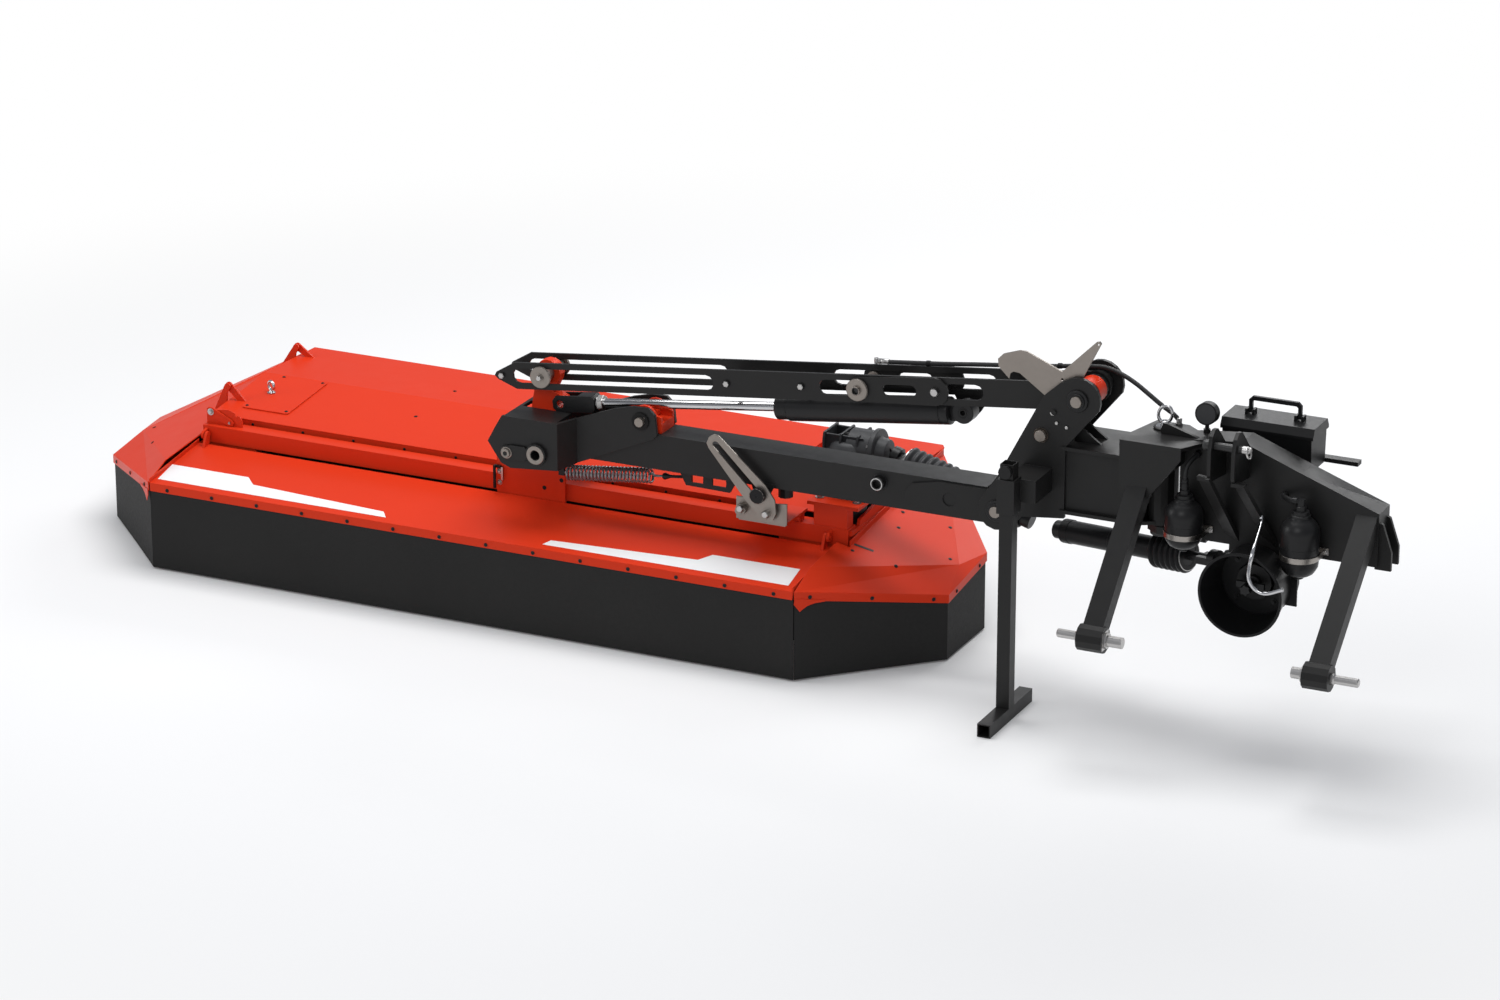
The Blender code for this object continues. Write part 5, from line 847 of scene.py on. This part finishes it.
# discs, hubs and knives under the deck
cutSize = {"count": 7, "pitch": 0.4, "longR": 0.19, "shortR": 0.135, "z": 0.104, "plate": 0.006,
    "boltR": 0.1, "boltTurn": 0.4, "boltZ": 0.1098, "bladeZ": 0.09805, "blade": 0.0039, "studX": 0.205}
origin = (0, 0, 0)
hubProfile = mm(0, 45.5, 23.8, 45.5, 23.8, 82, 45.5, 82.2, 45.5, 109, 61, 110, 61, 114, 56, 116.5, 32, 127,
    28, 127.8, 0, 127.8)
drumProfile = mm(30, 110.5, 84.5, 110.5, 85, 111.5, 80, 122, 71.5, 142, 70, 155, 70, 240, 72.5, 250, 80, 258,
    79, 261.5, 74, 261.8, 0, 261.8)
carrierProfile = mm(46.8, 98.1, 61.2, 98.1, 61.8, 98.6, 61.8, 101.4, 61.2, 101.9, 46.8, 101.9, 46.8, 98.1)
studProfile = mm(0, 90.5, 10, 90.5, 11.5, 92.5, 11.5, 98.2, 0, 98.2)
blade = mm(55, -19.5, 205, -19.5, 225, -19, 245.5, 7.5, 236, 14.5, 215, 19.5, 55, 19.5)
oval = [(cutSize["longR"] * x, cutSize["shortR"] * y) for x, y in ring(64, 1)]
for number in range(cutSize["count"]):
    shift = Matrix.Translation(((number - 3) * cutSize["pitch"], 0, 0))
    place = shift @ Matrix.Rotation(pi / 2 * (number % 2), 4, "Z")
    disc = [extrude(oval, cutSize["plate"], Matrix.Translation((0, 0, cutSize["z"]))),
            lathe(hubProfile, origin, upward, 48)]
    if number in (0, cutSize["count"] - 1):
        disc.append(lathe(drumProfile, origin, upward, 56))
    for turn in (cutSize["boltTurn"], -cutSize["boltTurn"], pi - cutSize["boltTurn"],
            pi + cutSize["boltTurn"]):
        x, y = ring(1, cutSize["boltR"], turn)[0]
        disc.append(hexBolt((x, y, cutSize["boltZ"]), upward, 0.011, 0.005))
    knives = [extrude(blade, cutSize["blade"],
        Matrix.Rotation(pi * k, 4, "Z") @ Matrix.Translation((0, 0, cutSize["bladeZ"]))) for k in (0, 1)]
    knives.append(lathe(carrierProfile, origin, upward, 40))
    knives += [lathe(studProfile, (cutSize["studX"] * way, 0, 0), upward, 20) for way in (-1, 1)]
    for meshes, name, look, node in ((disc, "cuttingDisc", "bareSteel", "disc"),
            (knives, "knifePair", "zincSteel", "knives")):
        whole = merge(meshes)
        bmesh.ops.transform(whole, matrix=place, verts=whole.verts)
        pieceFrom(whole, f"{name}{number + 1}", look, f"disc_{number + 1}", stands=f"{node}_{number + 1}")

# hatch with its lifting eye
hatchSize = {"low": (-1.14, 0.0), "high": (-0.955, 0.29), "corner": 0.012, "lift": 0.0007, "thick": 0.004,
    "eye": (-1.1, 0.14), "eyeHigh": 0.03, "ringR": 0.016, "wireR": 0.0052, "screwIn": (0.014, 0.016)}


def topZ(y):
    if y < 0.3:
        return 0.436 + 0.036 / 0.378 * (y + 0.078)
    return 0.472 - 0.012 * (y - 0.3) / 0.35


def innerCorners(insetX, insetY):
    (lowX, lowY), (highX, highY) = hatchSize["low"], hatchSize["high"]
    return [(x, y) for y in (lowY + insetY, highY - insetY) for x in (lowX + insetX, highX - insetX)]


r = hatchSize["corner"]
lowLeft, lowRight, highLeft, highRight = innerCorners(r, r)
corners = [(cx + r * cos(radians(start + a)), cy + r * sin(radians(start + a)))
           for (cx, cy), start in ((highRight, 0), (highLeft, 90), (lowLeft, 180), (lowRight, 270))
           for a in (0, 22.5, 45, 67.5, 90)]
lid = extrude(corners, hatchSize["thick"])
for vert in lid.verts:
    vert.co.z += topZ(vert.co.y) + hatchSize["lift"]
pieceFrom(lid, "hatchLid", "redPaint", "deck", bevel=0.0012, stands="hatch")
ex, ey = hatchSize["eye"]
eyeAt = (ex, ey, topZ(ey) + hatchSize["eyeHigh"])
eyeFoot = mm(0, -26, 15, -26, 15, -23.5, 10, -23, 8.5, -20, 6, -15, 5, -12, 0, -12)
pieceFrom([hoop(hatchSize["ringR"], hatchSize["wireR"], 16, eyeAt, (0.5, 1, 0)),
    lathe(eyeFoot, eyeAt, upward, 32)], "hatchEye", "chrome", "deck", smooth=60)
pieceFrom([domeScrew((x, y, topZ(y) + 0.0047), upward, 0.006, 0.0026)
    for x, y in innerCorners(*hatchSize["screwIn"])], "hatchScrews", "blackPaint", "deck")

# hose over the link bars, with its two end fittings
hoseSize = {"radius": 0.0075, "y": -0.163, "beside": 0.057, "fitting": 0.0575, "endX": 2.42, "endY": -0.204}
beside, fitting = hoseSize["beside"], hoseSize["fitting"]
y, endX, endY = hoseSize["y"], hoseSize["endX"], hoseSize["endY"]
hoseRoute = [onLink(along, across, beside) for along, across in (
    (1.215, 0.0555), (1.3, 0.0555), (1.42, 0.0555), (1.54, 0.0575), (1.66, 0.0585), (1.76, 0.0595),
    (1.84, 0.0625))]
hoseRoute += [(2.09, y, 1.112), (2.15, y - 0.002, 1.117), (2.205, y - 0.009, 1.107),
    (2.26, y - 0.018, 1.086), (2.315, y - 0.028, 1.056), (2.36, y - 0.035, 1.03),
    (2.398, y - 0.039, 1.01), (endX, endY, 0.992), (endX, endY, 0.99)]
hosePiece = pieceFrom(tube(curvePoints(hoseRoute, 7), hoseSize["radius"], 18), "liftHose", "hoseRubber", None,
    smooth=60, stands="hose")
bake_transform(hosePiece)
pieceFrom([
    lathe(mm(0, 0, 8, 0, 8.6, 1, 8.6, 24, 7.8, 26, 0, 26), onLink(1.195, fitting, beside), linkWay, 28),
    extrude(ring(6, 0.0094), 0.011, turnTo(linkWay, onLink(1.184, fitting, beside))),
    lathe(mm(0, -8, 8, -8, 8, 9, 7, 11, 0, 11), onLink(1.176, fitting, beside), linkSide, 28)],
    "hoseFrontFitting", "zincSteel", "link", bevel=0.0005)
pieceFrom([lathe(mm(0, 0, 9.5, 0, 9.5, 4, 9.2, 22, 8.2, 24, 0, 24), (endX, endY, 0.9775), upward, 28),
           extrude(ring(6, 0.0125), 0.007, Matrix.Translation((endX, endY, 0.9773)))],
          "hoseEndFitting", "zincSteel", "swing", bevel=0.0005)
for along, across in ((1.36, 0.0555), (1.62, 0.058), (1.82, 0.0625)):
    clip = lathe(mm(7.4, -6, 9.4, -6, 9.4, 6, 7.4, 6), onLink(along, across, beside), linkWay, 24)
    pieceFrom(clip, f"hoseClip{round(along * 100)}", "blackPlastic", "link")
print("gearbox, cutters, hatch and hose made")

# small parts that stand on the solids
detailAt = {"armHalf": 0.06, "yokeWide": 0.155, "cheekOut": 0.1075, "stub": (1.424, 0.657),
    "knob": (1.004, 0.556), "barOut": 0.065, "sliderOut": 0.0707, "sliderEnd": 1.432}
wide, armHalf, stub = (detailAt[k] for k in ("yokeWide", "armHalf", "stub"))


def faceRing(at, inner, outer, reach, depth, look, name, body):
    # turned ring on the near side, standing on a face
    edge = min(0.0012, (outer - inner) / 4)
    profile = [(inner, -reach), (inner, -reach - depth + edge), (inner + edge, -reach - depth),
        (outer - edge, -reach - depth), (outer, -reach - depth + edge), (outer, -reach), (inner, -reach)]
    pieceFrom(latheOnY(profile, at), name, look, body)


faceRing(pinAt["deck"], 0.0175, 0.032, wide + 0.0105, 0.004, "bareSteel", "deckPinRing", "yoke")
faceRing(pinAt["lock"], 0.015, 0.0205, wide + 0.008, 0.0022, "bareSteel", "lockPinWasher", "yoke")
keeperOutline = mm(90, 575, 104, 566, 178, 569, 184, 576, 184, 612, 178, 619, 128, 619, 98, 611, 86, 598)
pieceFrom(plateOnY(keeperOutline, armY - wide - 0.0083, armY - wide - 0.005), "pinKeeper", "darkPaint",
    "yoke", bevel=0.0008)
lockCap = mm(7.5, -13.5, 7.5, -17.8, 8.8, -18.6, 14, -18.6, 15.4, -17.2, 15.4, -6, 7.5, -6, 7.5, -13.5,
    rise=-wide)
pieceFrom(latheOnY(lockCap, pinAt["lock"], 40), "lockPinCap", "bareSteel", "yoke")
faceRing(stub, 0.0166, 0.0214, armHalf + 0.02, 0.0104, "zincSteel", "stubRing", "arm")
faceRing(stub, 0.0214, 0.0275, armHalf, 0.003, "blackPaint", "stubCollar", "arm")
knob = mm(0, -108.3, 3.2, -108.3, 3.8, -109.4, 23.2, -109.4, 26.6, -106.2, 26.8, -97.5, 25, -93.8, 0, -93.8)
pieceFrom(latheOnY(knob, detailAt["knob"], 40), "limiterKnob", "blackPlastic", "limiter")
sides = ((-1, toFront), (1, toRear))
pieceFrom([hexBolt(onLink(along, 0.0, sign * detailAt["barOut"]), way, 0.0165, 0.0058, washer=False)
           for along in (-0.15, 0.685, 0.954) for sign, way in sides], "linkBarBolts", "zincSteel", "link")
pieceFrom([hexBolt(onLink(detailAt["sliderEnd"], 0.0, sign * detailAt["sliderOut"]), way,
    0.0262, 0.0082, washer=False) for sign, way in sides], "sliderBolts", "zincSteel", "slider")
pieceFrom([hexBolt((x, armY - detailAt["cheekOut"], z), toFront, across, 0.005, washer=False)
    for x, z, across in ((2.04, 0.999, 0.012), (2.055, 0.968, 0.0092), (2.089, 0.958, 0.0092))],
    "pivotPlateBolts", "zincSteel", "swing")

# breakaway pin under its lifting ring
swingPinSize = {"at": Vector((2.39, -0.25, 0)), "ringR": 0.0225, "wireR": 0.0052, "ringZ": 1.022,
    "stretch": 1.28, "lean": 0.3, "darkLow": (-0.05, -0.05, 0.6), "darkHigh": (0.05, 0.05, 0.9845)}
swingAt = swingPinSize["at"]
swingProfile = mm(0, 624, 36.5, 624, 38, 625.5, 38, 636.5, 30, 637.6, 30, 977.4, 35, 977.4, 36.2, 978.6,
    36.2, 982.8, 34.5, 984.2, 20, 985, 14.5, 987, 13.8, 999, 12, 1001.5, 0, 1002)
ringMesh = hoop(swingPinSize["ringR"], swingPinSize["wireR"], 16, origin, toRear)
bmesh.ops.scale(ringMesh, vec=(1, 1, swingPinSize["stretch"]), verts=ringMesh.verts)
bmesh.ops.transform(ringMesh, verts=ringMesh.verts, matrix=Matrix.Translation(
    swingAt + upward * swingPinSize["ringZ"]) @ Matrix.Rotation(swingPinSize["lean"], 4, "Y"))
darkZone = (swingAt + Vector(swingPinSize["darkLow"]), swingAt + Vector(swingPinSize["darkHigh"]))
pieceFrom([lathe(swingProfile, swingAt, upward, 56), ringMesh], "breakawayPin",
          makeMaterial("swingPinFinish", "chrome", [("darkPaint", [darkZone])]), "headstock", smooth=60,
          stands="swing_pin")

# upper hitch pin with its lynch ring
topPin = {"start": (2.586, -0.425, 1.008), "ring": (2.738, -0.437, 1.004), "ringR": 0.017, "wireR": 0.0031,
          "dark": ((2.57, -0.445, 0.985), (2.715, -0.405, 1.03))}
topPinProfile = mm(0, 0, 15.5, 0, 17, 1.5, 17, 23.2, 15.8, 24.6, 12.5, 24.6, 12.5, 148, 10, 155.6, 0, 156)
pieceFrom([lathe(topPinProfile, topPin["start"], toRight),
           hoop(topPin["ringR"], topPin["wireR"], 14, topPin["ring"], (1, 0, 0.25), 40)], "upperHitchPin",
          makeMaterial("upperHitchPinFinish", "zincSteel", [("darkPaint", [topPin["dark"]])]), "headstock",
          smooth=60, stands="top_link_pin")

# bright rod hook for the hoses
hookRoute = [(2.768, -0.384, 0.785), (2.774, -0.405, 0.764), (2.786, -0.5, 0.714), (2.783, -0.522, 0.664),
    (2.786, -0.53, 0.628), (2.808, -0.53, 0.598), (2.843, -0.53, 0.59), (2.897, -0.53, 0.612)]
pieceFrom(tube(curvePoints(hookRoute, 8), 0.0068, 18), "hoseHookRod", "chrome", "headstock", smooth=60)

# round pressure dial without a scale
dialAt, dialWay = Vector((2.525, -0.25, 1.043)), Vector((0, -0.032, 0.003))
dialCase = mm(0, -32.5, 35, -32.5, 36.2, -31, 36.2, 0.5, 35, 1.6, 32.5, 1.6, 31.8, 0.4, 0, 0.4)
pieceFrom(lathe(dialCase, dialAt, dialWay, 56), "dialCase", "blackPlastic", "headstock")
pieceFrom(lathe(mm(0, 0.4, 31.6, 0.4, 31.6, 0.7, 0, 0.7), dialAt, dialWay, 48), "dialFace", "greyPlastic",
          "headstock", smooth=0)

# latch at the upright's outer end
latchSize = {"lever": ((-0.05, -0.183, 0.374), (-0.041, -0.175, 0.456)),
             "arm": ((-0.05, -0.175, 0.446), (-0.024, -0.1665, 0.456)),
             "bracket": ((-0.024, -0.174, 0.404), (-0.017, -0.1657, 0.45)), "boltZ": (0.392, 0.432),
             "plugs": ((0.137, 0.399), (0.202, 0.435))}
pieceFrom([boxMesh(*latchSize["lever"]), boxMesh(*latchSize["arm"])], "latchLever", "blackPlastic", "deck",
          bevel=0.0015)
latchBolts = [hexBolt((-0.033, -0.1656, z), toFront, 0.01, 0.005) for z in latchSize["boltZ"]]
pieceFrom([boxMesh(*latchSize["bracket"])] + latchBolts, "latchBracket", "zincSteel", "deck", bevel=0.0006)
pieceFrom([lathe(mm(0, 0, 7.5, 0, 7.5, 0.4, 0, 0.4), (x, -0.1654, z), toFront, 24)
    for x, z in latchSize["plugs"]], "cheekPlugs", "blackPlastic", "deck", smooth=0)


# small plugs and screws on the covers, and a black strip of painted slot shade, each standing on the sheet
# below it
def dropOn(nodeName):
    node = bpy.data.objects[nodeName]
    spots = [node.matrix_world @ vert.co for vert in node.data.vertices]
    tree = BVHTree.FromPolygons(spots, [tuple(face.vertices) for face in node.data.polygons])
    return lambda x, y: tree.ray_cast(Vector((x, y, 2.0)), -upward)[:2]


plugSize = {"radius": 0.0068, "high": 0.0016,
            "right_cover": mm(1311, 168, 1463, 216, 1338, 72, 1282, -177, 1537, 45, 1423, -141),
            "top_cover": mm(-525, 144, -516, 412), "left_flap": mm(-1529, 45, -1422, -141)}
slotShadeSize = {"start": (1.271, -0.139), "end": (1.334, -0.123), "wide": 0.012, "thick": 0.0006}
rightDrop = dropOn("right_cover")
slotStart, slotNormal = rightDrop(*slotShadeSize["start"])
slotAlong = rightDrop(*slotShadeSize["end"])[0] - slotStart
slotWay = slotAlong.normalized()
halfWide = slotShadeSize["wide"] / 2
# the slot is not cut into the cover: this thin black strip is painted shade for the dark inside of the slot
slotShadeSheet = extrude([(0, -halfWide), (slotAlong.length, -halfWide), (slotAlong.length, halfWide),
    (0, halfWide)], slotShadeSize["thick"], axesAt(slotWay, slotNormal.cross(slotWay), slotNormal, slotStart))
for nodeName, extra, name, body in (("right_cover", [slotShadeSheet], "rightCoverPlugsAndSlotShade", "deck"),
        ("top_cover", [], "topCoverPlugs", "deck"), ("left_flap", [], "leftFlapPlugs", "end_guard")):
    drop = dropOn(nodeName)
    plugs = [domeScrew(*drop(x, y), plugSize["radius"], plugSize["high"]) for x, y in plugSize[nodeName]]
    pieceFrom(plugs + extra, name, "blackPlastic", body)
pieceFrom([lathe(mm(0, -12, 10.5, -12, 10.5, 8.5, 9.2, 10, 0, 10), (x, -0.3225, z), toFront, 28)
           for x, z in ((0.943, 0.5035), (1.035, 0.4975))], "limiterMountBolts", "zincSteel", "deck")

# folded lip below the top cover's front edge
lipSize = {"low": (-1.13, -0.0765, 0.4075), "high": (0.862, -0.0735, 0.4312), "firstX": -1.05, "pitch": 0.2,
           "screwZ": 0.419}
pieceFrom(boxMesh(lipSize["low"], lipSize["high"]), "topCoverLip", "redPaint", "deck", bevel=0.001)
pieceFrom([domeScrew((lipSize["firstX"] + lipSize["pitch"] * k, lipSize["low"][1], lipSize["screwZ"]),
    toFront, 0.0052, 0.0026) for k in range(10)], "lipScrews", "blackPaint", "deck")

# notched stop plate and its arm at the cover's left end
stopSize = {"y": (-0.126, -0.121), "armY": (-0.133, -0.1275), "pin": (-1.184, 0.464)}
px, pz = stopSize["pin"]
stopOutline = mm(-1205, 405, -1066, 405, -1062, 440, -1070, 456, -1080, 462, -1086, 457, -1094, 470,
    -1118, 478, -1150, 474, -1170, 470, -1196, 478, -1205, 470)
armOutline = [(px + x, z) for x, z in mm(-16, 4, -8, 15, 6, 15, 82, -20, 90, -30, 86, -42, 70, -44, -12, -12,
    rise=pz)]
pieceFrom([plateOnY(stopOutline, *stopSize["y"]), plateOnY(armOutline, *stopSize["armY"])], "coverStop",
          "redPaint", "deck", bevel=0.0008)
pieceFrom([hexBolt((px, stopSize["armY"][0], pz), toFront, 0.013, 0.0055),
           hexBolt((px + 0.074, stopSize["armY"][0], pz - 0.031), toFront, 0.008, 0.004, washer=False)],
          "coverStopBolts", "zincSteel", "deck")

# bright washer and red bush on the link bars' hub
hubRing = mm(44.1, -60, 47, -60, 47.5, -59.5, 47.5, -56.5, 47, -56, 44.1, -56)
pieceFrom(latheOnY(hubRing, pinAt["link"]), "hubWasher", "zincSteel", "link")
pieceFrom(latheOnY(mm(44.1, -30, 45.2, -29, 45.2, 29, 44.1, 30), pinAt["link"]), "hubBush", "redPaint",
    "link")
print("small parts made")

# floor and light
floorMesh = bmesh.new()
bmesh.ops.create_grid(floorMesh, x_segments=1, y_segments=1, size=40)
floorData = bpy.data.meshes.new("floor")
floorMesh.to_mesh(floorData)
floor = bpy.data.objects.new("floor", floorData)
floor.location = (0, 0, -0.0005)
stageCollection.objects.link(floor)
floor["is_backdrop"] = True
floorLook = {"tone": (0.77, 0.77, 0.77, 1), "glow": 0.07, "rough": 0.9, "middle": (0.8, 0, 0), "from": 2.4,
    "to": 5.5}
floorMaterial = bpy.data.materials.new("floorPaper")
floorMaterial.use_nodes = True
tree = floorMaterial.node_tree
place = addNode(tree, "TexCoord")["Object"]
fromMiddle = addNode(tree, "VectorMath", {0: place, 1: floorLook["middle"]}, operation="SUBTRACT")[0]
away = addNode(tree, "VectorMath", {0: fromMiddle}, operation="LENGTH")["Value"]
fade = addNode(tree, "MapRange", {"Value": away, "From Min": floorLook["from"], "From Max": floorLook["to"]},
    interpolation_type="SMOOTHSTEP")[0]
path = addNode(tree, "LightPath")
seen = mathNode(tree, "MAXIMUM", path["Is Camera Ray"], path["Is Glossy Ray"])
feed(tree, tree.nodes["Principled BSDF"].inputs, {
    "Roughness": floorLook["rough"], "Specular IOR Level": 0.0, "Emission Color": white,
    "Base Color": mixNode(tree, mathNode(tree, "MULTIPLY", fade, seen), floorLook["tone"], black, "RGBA"),
    "Emission Strength": mathNode(tree, "MULTIPLY", seen, mixNode(tree, fade, floorLook["glow"], 1.0))})
floorData.materials.append(floorMaterial)

worldLook = {"light": (0.9, 0.93, 1.0, 1), "strength": 0.36}
world = bpy.data.worlds.new("studio")
bpy.context.scene.world = world
world.use_nodes = True
tree = world.node_tree
seen = addNode(tree, "LightPath")["Is Camera Ray"]
feed(tree, tree.nodes["Background"].inputs, {"Color": mixNode(tree, seen, worldLook["light"], white, "RGBA"),
    "Strength": mixNode(tree, seen, worldLook["strength"], 1.0)})

lamps = {
    "overhead": {"place": (0.6, 0.6, 6.5), "aim": (0.7, -0.1, 0.3), "size": (5.5, 3.2), "power": 350},
    "leftFill": {"place": (-6.5, -3.5, 3.6), "aim": (0.0, -0.2, 0.3), "size": (3.0, 3.0), "power": 130},
    "frontKey": {"place": (2.5, -7.0, 5.5), "aim": (1.0, -0.2, 0.4), "size": (3.5, 2.5), "power": 110},
    "rearRim": {"place": (1.5, 6.5, 4.0), "aim": (0.8, 0.0, 0.4), "size": (5.0, 2.0), "power": 150},
}
for name, lamp in lamps.items():
    light = bpy.data.lights.new(name, "AREA")
    light.shape = "RECTANGLE"
    light.size, light.size_y = lamp["size"]
    light.energy = lamp["power"]
    holder = bpy.data.objects.new(name, light)
    holder.location = lamp["place"]
    aim = Vector(lamp["aim"]) - Vector(lamp["place"])
    holder.rotation_euler = aim.to_track_quat("-Z", "Y").to_euler()
    stageCollection.objects.link(holder)
print("floor and lamps set")

low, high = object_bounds()
